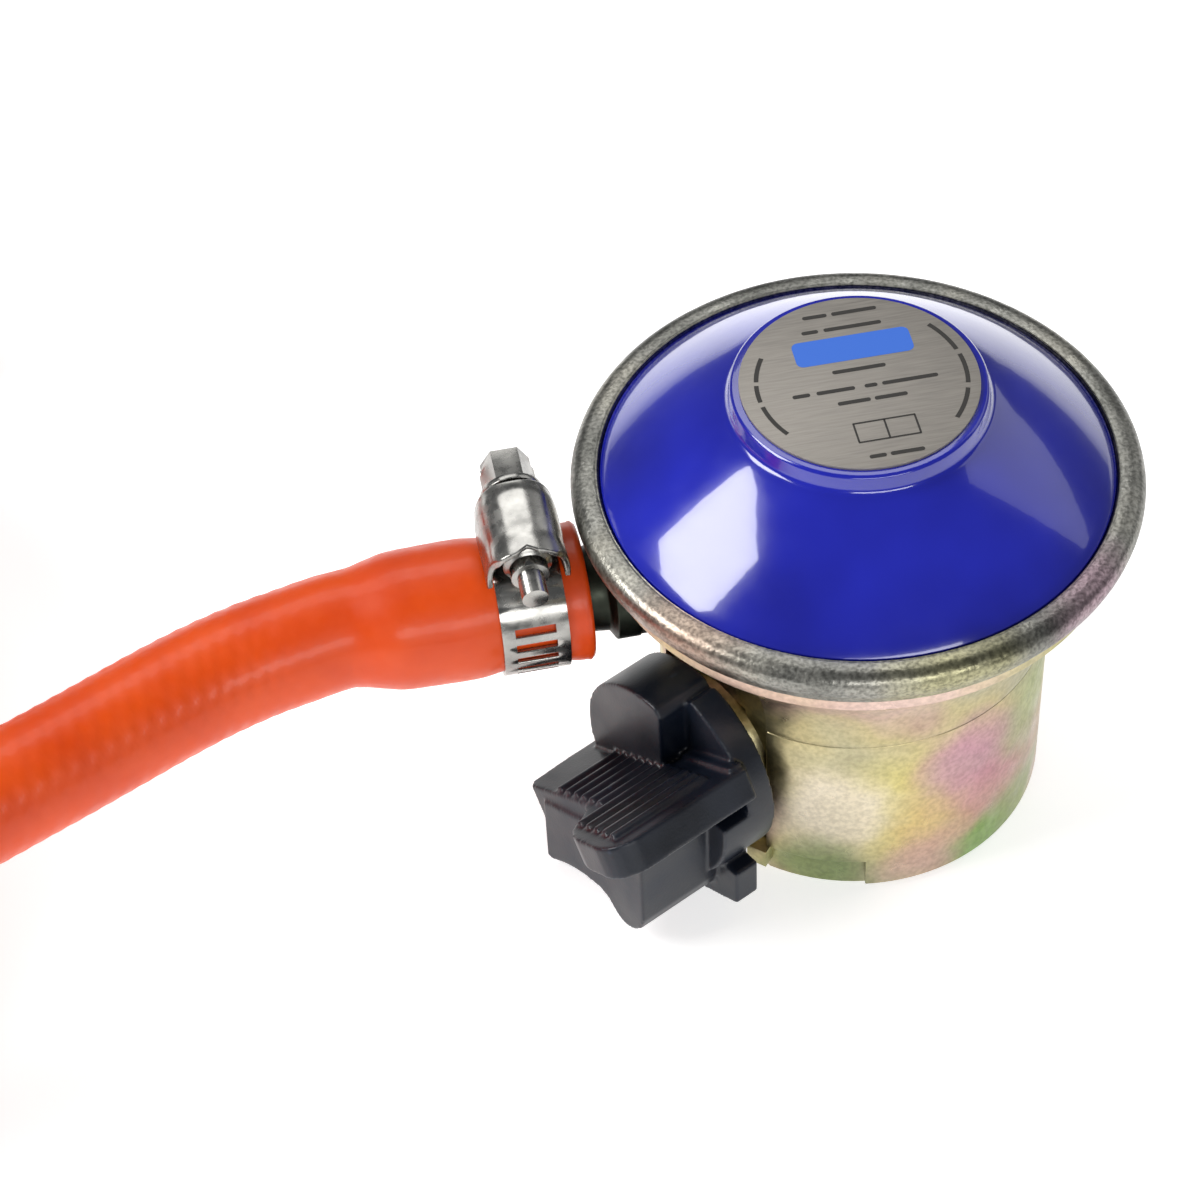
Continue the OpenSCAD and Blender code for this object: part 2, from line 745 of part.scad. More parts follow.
module clip_screw(r) {
    axis_h = screw_h(r);
    front = -housing_len / 2;
    root_r = worm_r - 0.7;
    ridges = [for (i = [0:4]) front + 1 + slot_pitch * i];
    outline = concat(
        [[0, front - 4], [1.65, front - 4], [1.65, front - 0.5], [root_r, front - 0.5]],
        [for (y = ridges) each [[root_r, y], [worm_r, y + 0.5], [worm_r, y + 0.9], [root_r, y + 1.4]]],
        [[root_r, -front + 0.3], [4, -front + 0.3], [4, -front + 1.1], [0, -front + 1.1]]
    );
    color(steel) translate([0, 0, axis_h]) rotate([-90, 0, 0]) difference() {
        union() {
            rotate_extrude() polygon(outline);
            translate([0, 0, -front + 1]) cylinder(r = head_r, h = 5, $fn = 6);
        }
        translate([-5, -0.5, -front + 4.6]) cube([10, 1, 3]);
    }
}

module at_clip_a() {
    translate([clip_a_x, 0, nozzle_z]) rotate([clip_a_roll, 0, 0]) children();
}

module at_clip_b() {
    translate([end_from + end_len - clip_b_back, coil_y + coil_r, coil_z + hose_r])
        rotate([0, 0, 180]) children();
}

module clip_a_band() { at_clip_a() clip_band(pinch_r); }
module clip_a_housing() { at_clip_a() clip_housing(pinch_r); }
module clip_a_screw() { at_clip_a() clip_screw(pinch_r); }
module clip_b_band() { at_clip_b() clip_band(hose_r); }
module clip_b_housing() { at_clip_b() clip_housing(hose_r); }
module clip_b_screw() { at_clip_b() clip_screw(hose_r); }

// ---------------------------------------------------------------- drawing

body_casting();
barrel();
valve_connector();
socket_seal();
lock_collar();
lock_ball(1);  // lock_ball_1
lock_ball(2);  // lock_ball_2
lock_ball(3);  // lock_ball_3
valve_pusher();
cam_shaft();
shaft_bush();
shaft_seal();
switch_knob();
knob_pin();
detent_ball();
detent_spring();
inlet_jet();
valve_plunger();
valve_pad();
valve_lever();
lever_pin();
lever_bracket();
bracket_screws();
diaphragm();
diaphragm_plate();
diaphragm_stem();
relief_spring();
relief_nut();
main_spring();
adjusting_screw();
top_cover();
crimp_rim();
label_plate();
outlet_nozzle();
nozzle_seal();
hose_cuff();
hose_run();
hose_coil();
hose_top_turn();
hose_tail();
hose_end();
clip_a_band();
clip_a_housing();
clip_a_screw();
clip_b_band();
clip_b_housing();
clip_b_screw();
hose_ties();
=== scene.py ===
"""A clip-on gas regulator with a coiled rubber hose.

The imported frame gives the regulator's shapes. Here they get their finishes and rounded edges, and
the hose, its ties, the clips' pressed housings and the label's print are made as finer pieces.
"""

import logging
import math
from dataclasses import dataclass, field
from enum import Enum
from typing import Sequence

import bmesh
import bpy
import numpy as np
from mathutils import Matrix, Vector


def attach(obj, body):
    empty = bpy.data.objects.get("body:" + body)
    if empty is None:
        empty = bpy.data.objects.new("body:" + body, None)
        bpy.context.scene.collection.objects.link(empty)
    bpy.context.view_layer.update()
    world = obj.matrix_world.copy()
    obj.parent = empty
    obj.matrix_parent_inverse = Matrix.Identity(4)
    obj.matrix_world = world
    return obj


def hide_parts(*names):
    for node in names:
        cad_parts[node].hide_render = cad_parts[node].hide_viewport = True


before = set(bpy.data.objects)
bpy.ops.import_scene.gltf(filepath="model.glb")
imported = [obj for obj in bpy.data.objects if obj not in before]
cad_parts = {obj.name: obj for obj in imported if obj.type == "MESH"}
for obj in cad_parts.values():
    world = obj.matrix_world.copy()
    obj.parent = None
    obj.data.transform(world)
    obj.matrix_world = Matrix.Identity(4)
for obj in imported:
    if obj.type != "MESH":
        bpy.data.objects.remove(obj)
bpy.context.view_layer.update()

LOG = logging.getLogger("gas_regulator")
MM = 0.001
WELD_DISTANCE = 0.002 * MM
HOUSING_BODY = "regulator"

Tree = bpy.types.NodeTree
Node = bpy.types.Node
Socket = bpy.types.NodeSocket
Piece = bpy.types.Object
Flat = tuple[float, float]


class Slot(Enum):
    """Material slots of the record that new pieces take their finish from."""

    LABEL = "label_aluminium"
    RUBBER = "orange_rubber"
    NYLON = "black_nylon"
    STEEL = "bright_steel"


# ---------------------------------------------------------------- small helpers


def linear(colour: str) -> tuple[float, float, float, float]:
    """Turn an sRGB hex colour into linear values.

    Args:
        colour: six hex digits after a hash.

    Returns:
        Red, green, blue and an alpha of one.
    """
    parts = [int(colour[i : i + 2], 16) / 255 for i in (1, 3, 5)]
    lin = [c / 12.92 if c <= 0.04045 else ((c + 0.055) / 1.055) ** 2.4 for c in parts]
    return lin[0], lin[1], lin[2], 1.0


def add(
    tree: Tree,
    kind: str,
    links: dict[str | int, Socket] | None = None,
    values: dict[str | int, object] | None = None,
    stops: Sequence[tuple[float, str]] = (),
    **settings: object,
) -> Node:
    """Add a shader node with its settings, values and incoming links.

    Args:
        tree: the material's node tree.
        kind: the node's type without the ShaderNode prefix.
        links: sockets of other nodes, by the name or number of this node's input.
        values: fixed values, by the name or number of this node's input.
        stops: positions and hex colours of a colour ramp.
        settings: attributes of the node.

    Returns:
        The new node.
    """
    made = tree.nodes.new("ShaderNode" + kind)
    for name, value in settings.items():
        setattr(made, name, value)
    for key, value in (values or {}).items():
        made.inputs[key].default_value = value
    for key, source in (links or {}).items():
        tree.links.new(source, made.inputs[key])
    for i, (place, colour) in enumerate(stops):
        ramp = made.color_ramp.elements
        stop = ramp[i] if i < 2 else ramp.new(place)
        stop.position = place
        stop.color = linear(colour)
    return made


def mesh_piece(
    name: str,
    points: Sequence[Sequence[float]],
    faces: Sequence[Sequence[int]],
    sharp_deg: float = 35,
) -> Piece:
    """Make a smooth-shaded mesh object in the scene.

    Args:
        name: the piece's name.
        points: its vertices, in metres in the row frame.
        faces: vertex numbers of each face.
        sharp_deg: edges that bend more than this stay sharp.

    Returns:
        The new object.
    """
    mesh = bpy.data.meshes.new(name)
    mesh.from_pydata([tuple(p) for p in points], [], [tuple(f) for f in faces])
    piece = bpy.data.objects.new(name, mesh)
    bpy.context.scene.collection.objects.link(piece)
    welded = bmesh.new()
    welded.from_mesh(mesh)
    bmesh.ops.remove_doubles(welded, verts=welded.verts, dist=WELD_DISTANCE)
    bmesh.ops.recalc_face_normals(welded, faces=welded.faces)
    welded.to_mesh(mesh)
    welded.free()
    shade(piece, sharp_deg)
    return piece


def shade(piece: Piece, sharp_deg: float) -> None:
    """Smooth a mesh's shading apart from its sharp edges.

    Args:
        piece: the piece.
        sharp_deg: edges that bend more than this stay sharp.
    """
    mesh = piece.data
    mesh.polygons.foreach_set("use_smooth", [True] * len(mesh.polygons))
    mesh.set_sharp_from_angle(angle=math.radians(sharp_deg))


def paint(piece: Piece, material: bpy.types.Material) -> None:
    """Give a piece one material."""
    piece.data.materials.clear()
    piece.data.materials.append(material)


def soften(piece: Piece, width_mm: float, angle_deg: float = 32, segments: int = 2) -> None:
    """Round a piece's sharp edges with modifiers, without touching its mesh.

    Args:
        piece: a CAD node or a new piece.
        width_mm: the radius of the rounded edges.
        angle_deg: edges that bend more than this are rounded.
        segments: faces across each rounded edge.
    """
    weld = piece.modifiers.new("weld", "WELD")
    weld.merge_threshold = WELD_DISTANCE
    bevel = piece.modifiers.new("edges", "BEVEL")
    bevel.width = width_mm * MM
    bevel.segments = segments
    bevel.limit_method = "ANGLE"
    bevel.angle_limit = math.radians(angle_deg)
    bevel.harden_normals = False
    bevel.use_clamp_overlap = True


def melt(piece: Piece, grid_mm: float, rounds: int) -> None:
    """Give a CAD node the rounded edges and fillets of a moulding, without touching its mesh.

    Args:
        piece: a CAD node.
        grid_mm: the size of the faces it is rebuilt from.
        rounds: how often they are smoothed, which sets the radius of its edges.
    """
    rebuilt = piece.modifiers.new("moulding", "REMESH")
    rebuilt.mode = "VOXEL"
    rebuilt.voxel_size = grid_mm * MM
    rebuilt.use_smooth_shade = True
    rounded = piece.modifiers.new("rounding", "SMOOTH")
    rounded.factor = 0.5
    rounded.iterations = rounds


def smoothstep(t: float) -> float:
    """Ease from nought to one."""
    t = min(1.0, max(0.0, t))
    return t * t * (3 - 2 * t)


def turned(angle_deg: float, radius: float, z: float = 0.0) -> Vector:
    """Give a point on a circle round the Z axis."""
    a = math.radians(angle_deg)
    return Vector((radius * math.cos(a), radius * math.sin(a), z))


# ---------------------------------------------------------------- finishes


@dataclass(frozen=True)
class Skin:
    """A material that is being built: its nodes, its shader and the place on the object."""

    tree: Tree
    shader: Node
    place: Socket

    def noise(
        self, size_mm: float, detail: float = 3.0, at: Socket | None = None, output: str = "Fac"
    ) -> Socket:
        """Add a noise pattern with features of a real size.

        Args:
            size_mm: the size of its features in millimetres.
            detail: how many finer layers it has.
            at: where it is read, if not at the plain place on the object.
            output: which of the noise's outputs is wanted.

        Returns:
            The pattern.
        """
        values = {"Scale": 1.0 / (size_mm * MM), "Detail": detail}
        return add(self.tree, "TexNoise", {"Vector": at or self.place}, values).outputs[output]

    def span(
        self,
        value: Socket,
        source: tuple[float, float],
        target: tuple[float, float],
        shape: str = "LINEAR",
    ) -> Socket:
        """Map one range of a value onto another.

        Args:
            value: the value.
            source: the ends of its range.
            target: what they become.
            shape: how it goes from one end to the other.

        Returns:
            The mapped value.
        """
        ends = dict(zip(("From Min", "From Max", "To Min", "To Max"), source + target))
        node = add(self.tree, "MapRange", {"Value": value}, ends, interpolation_type=shape)
        return node.outputs["Result"]

    def tint(self, pattern: Socket, *stops: tuple[float, str]) -> Socket:
        """Add a colour that follows a pattern.

        Args:
            pattern: the pattern.
            stops: the colours and the pattern's values that they stand at.

        Returns:
            The colour.
        """
        return add(self.tree, "ValToRGB", {"Fac": pattern}, stops=stops).outputs["Color"]

    def link(self, source: Socket, name: str) -> None:
        """Link a colour, value or normal to one of the shader's inputs."""
        self.tree.links.new(source, self.shader.inputs[name])

    def rough(self, pattern: Socket, low: float, high: float) -> None:
        """Let the roughness follow a pattern between two values."""
        middle = (0.3, 0.7)  # where nearly all of a noise pattern's values lie
        self.link(self.span(pattern, middle, (low, high)), "Roughness")

    def bump(self, pattern: Socket, depth_mm: float, under: Socket | None = None) -> Socket:
        """Raise the surface by a pattern, over an earlier bump where one is given.

        Args:
            pattern: the pattern.
            depth_mm: its height in millimetres.
            under: the earlier bump's normal.

        Returns:
            The bumped normal.
        """
        links = {"Height": pattern}
        if under:
            links["Normal"] = under
        node = add(self.tree, "Bump", links, {"Strength": 1.0, "Distance": depth_mm * MM})
        self.link(node.outputs["Normal"], "Normal")
        return node.outputs["Normal"]


@dataclass(frozen=True)
class Finish:
    """A surface finish, named for the material and how it was made."""

    name: str
    base: str
    roughness: float
    metallic: float = 0.0
    ior: float = 1.5
    coat: float = 0.0
    coat_roughness: float = 0.03

    def material(self) -> bpy.types.Material:
        """Build the material once and reuse it.

        Returns:
            The material of this finish's name.
        """
        made = bpy.data.materials.get(self.name)
        if made:
            return made
        made = bpy.data.materials.new(self.name)
        made.use_nodes = True
        made.diffuse_color = linear(self.base)
        tree = made.node_tree
        shader = tree.nodes["Principled BSDF"]
        shader.inputs["Base Color"].default_value = linear(self.base)
        shader.inputs["Roughness"].default_value = self.roughness
        shader.inputs["Metallic"].default_value = self.metallic
        shader.inputs["IOR"].default_value = self.ior
        shader.inputs["Coat Weight"].default_value = self.coat
        shader.inputs["Coat Roughness"].default_value = self.coat_roughness
        self.dress(Skin(tree, shader, add(tree, "TexCoord").outputs["Object"]))
        return made

    def dress(self, skin: Skin) -> None:
        """Add the finish's own pattern. The plain finish has none."""


@dataclass(frozen=True)
class Patch:
    """A soft-edged patch of another tint, such as passivation that came out thicker."""

    centre_mm: tuple[float, float, float]
    radius_mm: float
    tint: str
    strength: float
    core: float = 0.3

    def lay(self, skin: Skin, where: Socket, shift: float, colour: Socket) -> Socket:
        """Mix the patch's tint into a colour.

        Args:
            skin: the material being built.
            where: the place on the object, drifted.
            shift: the mean drift in metres.
            colour: the colour under the patch.

        Returns:
            The colour with the patch in it.
        """
        centre = tuple(c * MM + shift for c in self.centre_mm)
        near = add(skin.tree, "VectorMath", {0: where}, {1: centre}, operation="DISTANCE")
        reach = self.radius_mm * MM
        fade = (self.core * reach, reach)
        amount = skin.span(near.outputs["Value"], fade, (self.strength, 0.0), "SMOOTHSTEP")
        tint = {7: linear(self.tint)}
        return add(skin.tree, "Mix", {0: amount, 6: colour}, tint, data_type="RGBA").outputs[2]


@dataclass(frozen=True)
class PassivatedZinc(Finish):
    """Zinc with a yellow chromate passivation: satin, its interference tints drift in patches.

    A real casting's grain is finer. Here it is drawn coarse enough to show.
    """

    metallic: float = 1.0
    tints: tuple[tuple[float, str], ...] = ()
    patches: tuple[Patch, ...] = ()
    drift_mm: float = 22.0
    wander_mm: float = 7.0
    stray_mm: float = 6.0
    grain_mm: float = 0.7
    grain_depth_mm: float = 0.02
    rub_mm: float = 3.0
    dent_mm: float = 4.0
    dents_to_grain: float = 1.6
    fleck: float = 0.35

    def dress(self, skin: Skin) -> None:
        """Lay drifting tints, placed patches, dark flecks, cast grain and faint rubbing marks.

        Args:
            skin: the material being built.
        """
        colour = skin.tint(skin.noise(self.drift_mm, 2.0), *self.tints)
        stray = self.stray_mm * MM
        links = {0: skin.noise(self.wander_mm, output="Color"), 2: skin.place}
        size = {1: (stray, stray, stray)}
        where = add(skin.tree, "VectorMath", links, size, operation="MULTIPLY_ADD").outputs[0]
        for patch in self.patches:
            colour = patch.lay(skin, where, stray / 2, colour)
        grain = skin.noise(self.grain_mm, 4.0)
        dark = skin.span(grain, (0.35, 0.62), (1.0 - self.fleck, 1.0))
        flecked = add(
            skin.tree, "Mix", {6: colour, 7: dark}, {0: 1.0}, data_type="RGBA", blend_type="MULTIPLY"
        )
        skin.link(flecked.outputs[2], "Base Color")
        rubbing_and_painted_highlight = skin.noise(self.rub_mm, 5.0)
        skin.rough(rubbing_and_painted_highlight, self.roughness - 0.08, self.roughness + 0.12)
        raised = skin.bump(grain, self.grain_depth_mm)
        dents = skin.noise(self.dent_mm, 3.0)
        skin.bump(dents, self.grain_depth_mm * self.dents_to_grain, raised)


@dataclass(frozen=True)
class Enamel(Finish):
    """Stoved enamel on a pressed cover: deep colour under a hard gloss with slight orange peel."""

    deep: str = "#141a92"
    depth_mm: float = 18.0
    haze_mm: float = 2.5
    peel_mm: float = 2.2
    peel_height_mm: float = 0.006

    def dress(self, skin: Skin) -> None:
        """Vary the colour's depth slowly and put a shallow orange peel in the gloss.

        Args:
            skin: the material being built.
        """
        depth = skin.noise(self.depth_mm, 2.0)
        skin.link(skin.tint(depth, (0.3, self.deep), (0.7, self.base)), "Base Color")
        skin.rough(skin.noise(self.haze_mm), self.roughness, self.roughness + 0.05)
        peel = skin.bump(skin.noise(self.peel_mm, 1.0), self.peel_height_mm)
        skin.link(peel, "Coat Normal")


@dataclass(frozen=True)
class BrushedAluminium(Finish):
    """Thin aluminium plate brushed in one direction: a soft sheen that runs along the lines.

    Real brush lines are finer. These are drawn coarse enough to show.
    """

    metallic: float = 1.0
    shadow: str = "#98938c"
    line_mm: float = 0.25
    line_depth_mm: float = 0.008
    brush_deg: float = 12.0
    stretch: float = 0.06

    def dress(self, skin: Skin) -> None:
        """Draw fine parallel brush lines, long in one direction.

        Args:
            skin: the material being built.
        """
        brushing = {
            "Rotation": (0, 0, math.radians(self.brush_deg)),
            "Scale": (self.stretch, 1, 1),
        }
        along = add(skin.tree, "Mapping", {"Vector": skin.place}, brushing).outputs["Vector"]
        lines = skin.noise(self.line_mm, 4.0, at=along)
        skin.link(skin.tint(lines, (0.3, self.shadow), (0.7, self.base)), "Base Color")
        skin.rough(lines, self.roughness, self.roughness + 0.15)
        skin.bump(lines, self.line_depth_mm)


@dataclass(frozen=True)
class MouldedPlastic(Finish):
    """Injection-moulded glass-filled polyamide: satin, with a fine spark-eroded texture.

    The texture is drawn coarser than a real mould's, so that it shows.
    """

    # The paler blue of the painted highlight on the sharp edges.
    painted_edge_highlight: str = "#1f2d42"
    pale: str = "#0e1828"
    grain_mm: float = 0.35
    grain_depth_mm: float = 0.02
    flow_mm: float = 9.0

    def dress(self, skin: Skin) -> None:
        """Add mould texture, slow flow marks and a painted highlight that makes the sharp edges
        paler.

        Args:
            skin: the material being built.
        """
        grain = skin.noise(self.grain_mm)
        flow = skin.noise(self.flow_mm)
        # Painted highlight: the sharp edges, found by their pointiness, are mixed towards a paler
        # blue.
        edge = add(skin.tree, "NewGeometry").outputs["Pointiness"]
        rubbing_and_painted_highlight = skin.span(edge, (0.53, 0.66), (0.0, 0.55))
        tone = skin.tint(flow, (0.35, self.base), (0.75, self.pale))
        painted_edge_highlight = {7: linear(self.painted_edge_highlight)}
        mixed = add(skin.tree, "Mix", {0: rubbing_and_painted_highlight, 6: tone}, painted_edge_highlight, data_type="RGBA")
        skin.link(mixed.outputs[2], "Base Color")
        skin.rough(flow, self.roughness - 0.06, self.roughness + 0.1)
        skin.bump(grain, self.grain_depth_mm)


@dataclass(frozen=True)
class ExtrudedRubber(Finish):
    """Extruded nitrile rubber: a glossy, slightly waxy skin with cloudy colour."""

    shadow: str = "#d84306"
    cloud_mm: float = 11.0
    bloom_mm: float = 2.0
    nick_mm: float = 1.1
    nick_depth_mm: float = 0.02
    glow: float = 0.05
    glow_reach_mm: tuple[float, float, float] = (1.5, 0.5, 0.2)

    def dress(self, skin: Skin) -> None:
        """Add cloudy colour, small surface nicks and a waxy bloom in the gloss.

        Args:
            skin: the material being built.
        """
        cloud = skin.noise(self.cloud_mm, 4.0)
        skin.link(skin.tint(cloud, (0.3, self.shadow), (0.7, self.base)), "Base Color")
        bloom = skin.noise(self.bloom_mm, 4.0)
        skin.rough(bloom, self.roughness, self.roughness + 0.16)
        reach = tuple(r * MM for r in self.glow_reach_mm)
        skin.shader.inputs["Subsurface Weight"].default_value = self.glow
        skin.shader.inputs["Subsurface Radius"].default_value = reach
        skin.shader.inputs["Subsurface Scale"].default_value = 1.0
        nicks = skin.bump(skin.noise(self.nick_mm), self.nick_depth_mm)
        skin.link(nicks, "Coat Normal")


@dataclass(frozen=True)
class PlatedSteel(Finish):
    """Pressed or turned metal with a thin bright plating: smooth, with drawing marks and dents."""

    metallic: float = 1.0
    dark: str = "#8d8c88"
    smear_mm: float = 5.0
    polish_mm: float = 1.6
    dent_mm: float = 3.4
    dent_depth_mm: float = 0.015
    scratch_mm: float = 0.4
    scratch_depth_mm: float = 0.004

    def dress(self, skin: Skin) -> None:
        """Add cloudy plating, fine drawing marks and the slight unevenness of pressed sheet.

        Args:
            skin: the material being built.
        """
        cloud = skin.noise(self.smear_mm, 4.0)
        skin.link(skin.tint(cloud, (0.3, self.dark), (0.65, self.base)), "Base Color")
        polish = skin.noise(self.polish_mm, 4.0)
        skin.rough(polish, self.roughness, self.roughness + 0.16)
        dents = skin.bump(skin.noise(self.dent_mm, 1.0), self.dent_depth_mm)
        skin.bump(skin.noise(self.scratch_mm), self.scratch_depth_mm, dents)


@dataclass(frozen=True)
class MattRubber(Finish):
    """Moulded black rubber or nylon: dull, with a fine dusty grain."""

    grain_mm: float = 0.5
    grain_depth_mm: float = 0.015
    dust_mm: float = 4.0

    def dress(self, skin: Skin) -> None:
        """Add a fine grain in the surface and a dusty change of roughness.

        Args:
            skin: the material being built.
        """
        grain = skin.noise(self.grain_mm)
        skin.rough(skin.noise(self.dust_mm), self.roughness - 0.08, self.roughness + 0.08)
        skin.bump(grain, self.grain_depth_mm)


@dataclass(frozen=True)
class LitPaper(Finish):
    """Matt white paper on a softly lit table, so it stays white without hard shadows."""

    glow: float = 0.6

    def dress(self, skin: Skin) -> None:
        """Give the paper the table's own even glow."""
        skin.shader.inputs["Emission Color"].default_value = linear("#ffffff")
        skin.shader.inputs["Emission Strength"].default_value = self.glow


# The body and barrel: straw-coloured passivation with rose, olive and green where it is thicker.
BARREL_ZINC = PassivatedZinc(
    "yellow_passivated_zinc",
    "#b9b293",
    0.34,
    tints=(
        (0.32, "#a39e80"),
        (0.42, "#bdb592"),
        (0.52, "#c7ba8c"),
        (0.6, "#c0a691"),
        (0.7, "#aab082"),
    ),
    patches=(
        Patch((-1, -25.4, 16), 13, "#d3c878", 0.7),
        Patch((6, -25, 10), 10, "#d3b57e", 0.6),
        Patch((11, -23, 20), 12, "#c48ea8", 0.65),
        Patch((15, -21, 11), 11, "#c68d92", 0.65),
        Patch((12, -22.5, 2), 8, "#7aa84a", 0.85),
        Patch((18, -18, 4), 9, "#8ca65c", 0.7),
        Patch((4, -25.2, 4), 8, "#c498a0", 0.5),
        Patch((20, -15.5, 22), 11, "#a9b482", 0.7),
        Patch((-8, -24.2, 16), 11, "#e0d5c2", 0.85),
        Patch((-2, -31, 45), 16, "#e0c4ba", 0.85),
        Patch((-18, -25, 45), 14, "#d2b3a8", 0.75),
        Patch((21, -21, 45), 11, "#b9c274", 0.7),
        Patch((-10, -23, 3), 9, "#728a4c", 0.75),
        Patch((24, 8, 15), 11, "#c593a4", 0.5),
        Patch((-5, 25, 20), 13, "#cfc384", 0.6),
        Patch((-24, 10, 12), 11, "#a0ae74", 0.5),
    ),
    fleck=0.2,
)
# The rolled rim: the same plating over rougher strip, greyer and grainy.
RIM_ZINC = PassivatedZinc(
    "grainy_passivated_zinc",
    "#a7a284",
    0.36,
    tints=((0.3, "#7a7a74"), (0.45, "#9a9992"), (0.6, "#aaa79c"), (0.72, "#97938c")),
    patches=(
        Patch((-24, -20, 50), 12, "#c3a48e", 0.6),
        Patch((22, -26, 50), 10, "#c59ab0", 0.5),
        Patch((4, -34, 50), 12, "#b9b47e", 0.6),
    ),
    drift_mm=16,
    grain_mm=0.5,
    grain_depth_mm=0.05,
    fleck=0.5,
)
# The cover: deep blue with sharp reflections of the soft boxes.
COVER_ENAMEL = Enamel("blue_stoved_enamel", "#1e27b8", 0.14, coat=1.0, coat_roughness=0.04)
# The label: grey aluminium with a broad sheen, a little dulled, as under a clear lacquer.
PLATE_ALUMINIUM = BrushedAluminium("brushed_aluminium_plate", "#aea8a0", 0.5, metallic=0.7)
# The switch knob and the coil's ties: dark moulded nylon, satin.
NAVY_NYLON = MouldedPlastic("moulded_navy_nylon", "#050b17", 0.38)
BLACK_NYLON = MattRubber("moulded_black_nylon", "#141414", 0.45)
# The hose: bright orange with a soft gloss along its upper side.
HOSE_RUBBER = ExtrudedRubber(
    "extruded_orange_rubber", "#e9510a", 0.34, ior=1.42, coat=0.12, coat_roughness=0.1
)
# The clips, the nozzle, the turned valve parts and the seals: bright, dark, warm and dull.
BRIGHT_STEEL = PlatedSteel("bright_zinc_plated_steel", "#b3b1ac", 0.18)
OLIVE_STEEL = PlatedSteel("olive_plated_steel", "#3d4139", 0.36, dark="#2a2d27")
TURNED_BRASS = PlatedSteel("turned_brass", "#c9a658", 0.26, dark="#a88742")
SEAL_RUBBER = MattRubber("black_seal_rubber", "#161616", 0.6)
# The label's inks: flat and slightly glossy.
BLUE_INK = Finish("screen_printed_blue_ink", "#2f6fdc", 0.45)
BLACK_INK = Finish("screen_printed_black_ink", "#2a2723", 0.5)
TABLE_PAPER = LitPaper("lit_table_paper", "#f2f2f2", 0.9)


# ---------------------------------------------------------------- camera, light and floor


@dataclass(frozen=True)
class SoftBox:
    """A soft box that faces the regulator: its direction from +X, height, distance and size."""

    name: str
    around_deg: float
    above_deg: float
    away: float
    size: Flat
    watts: float

    def hang(self, aim: Vector) -> None:
        """Hang the soft box.

        Args:
            aim: the point that it faces.
        """
        data = bpy.data.lights.new(self.name, "AREA")
        data.shape = "RECTANGLE"
        data.size, data.size_y = self.size
        data.energy = self.watts
        lamp = bpy.data.objects.new(self.name, data)
        around = math.radians(self.around_deg)
        above = math.radians(self.above_deg)
        level = math.cos(above)
        out = Vector((math.cos(around) * level, math.sin(around) * level, math.sin(above)))
        facing = out.to_track_quat("Z", "Y").to_matrix().to_4x4()
        lamp.matrix_world = Matrix.Translation(aim + out * self.away) @ facing
        bpy.context.scene.collection.objects.link(lamp)


@dataclass
class Studio:
    """A pale floor, soft boxes and the camera."""

    camera_mm: tuple[float, float, float] = (-75.4, -280.8, 355.6)
    look_deg: float = 81.5
    down_deg: float = 48.3
    roll_deg: float = -3.2
    lens_mm: float = 100.0
    sensor_mm: float = 36.0
    nearest: float = 0.01
    floor_half: float = 3.0
    floor_z: float = -0.2 * MM
    aim: tuple[float, float, float] = (0, 0, 0.03)
    room_colour: str = "#e9edf2"
    room_strength: float = 0.16
    boxes: tuple[SoftBox, ...] = (
        SoftBox("left_box", 176, 40, 0.9, (0.46, 0.38), 5.5),
        SoftBox("right_box", 20, 34, 1.3, (1.0, 0.8), 2.2),
        SoftBox("back_box", 100, 55, 1.2, (1.0, 0.5), 4),
        SoftBox("front_box", 275, 26, 1.2, (0.9, 0.3), 5),
    )

    def camera(self) -> None:
        """Place the camera."""
        around = math.radians(self.look_deg)
        down = math.radians(self.down_deg)
        roll = math.radians(self.roll_deg)
        flat = math.cos(down)
        ahead = Vector((math.cos(around) * flat, math.sin(around) * flat, -math.sin(down)))
        level = Vector((math.sin(around), -math.cos(around), 0))
        top = level.cross(ahead)
        right = level * math.cos(roll) + top * math.sin(roll)
        up = top * math.cos(roll) - level * math.sin(roll)
        data = bpy.data.cameras.new("camera")
        data.lens = self.lens_mm
        data.sensor_width = self.sensor_mm
        data.clip_start = self.nearest
        eye = bpy.data.objects.new("camera", data)
        turn = Matrix((right, up, -ahead)).transposed()
        eye.matrix_world = Matrix.Translation(Vector(self.camera_mm) * MM) @ turn.to_4x4()
        bpy.context.scene.collection.objects.link(eye)
        bpy.context.scene.camera = eye

    def floor(self) -> None:
        """Lay a plain pale floor."""
        half = self.floor_half
        corners = [
            (x * half, y * half, self.floor_z) for x, y in ((-1, -1), (1, -1), (1, 1), (-1, 1))
        ]
        sheet = mesh_piece("studio_floor", corners, [(0, 1, 2, 3)])
        paint(sheet, TABLE_PAPER.material())

    def light(self) -> None:
        """Hang the soft boxes and set the room's own light."""
        world = bpy.data.worlds.new("studio")
        bpy.context.scene.world = world
        world.use_nodes = True
        room = world.node_tree.nodes["Background"]
        room.inputs["Color"].default_value = linear(self.room_colour)
        room.inputs["Strength"].default_value = self.room_strength
        for box in self.boxes:
            box.hang(Vector(self.aim))
        bpy.context.scene.view_settings.view_transform = "Standard"


# ---------------------------------------------------------------- hose


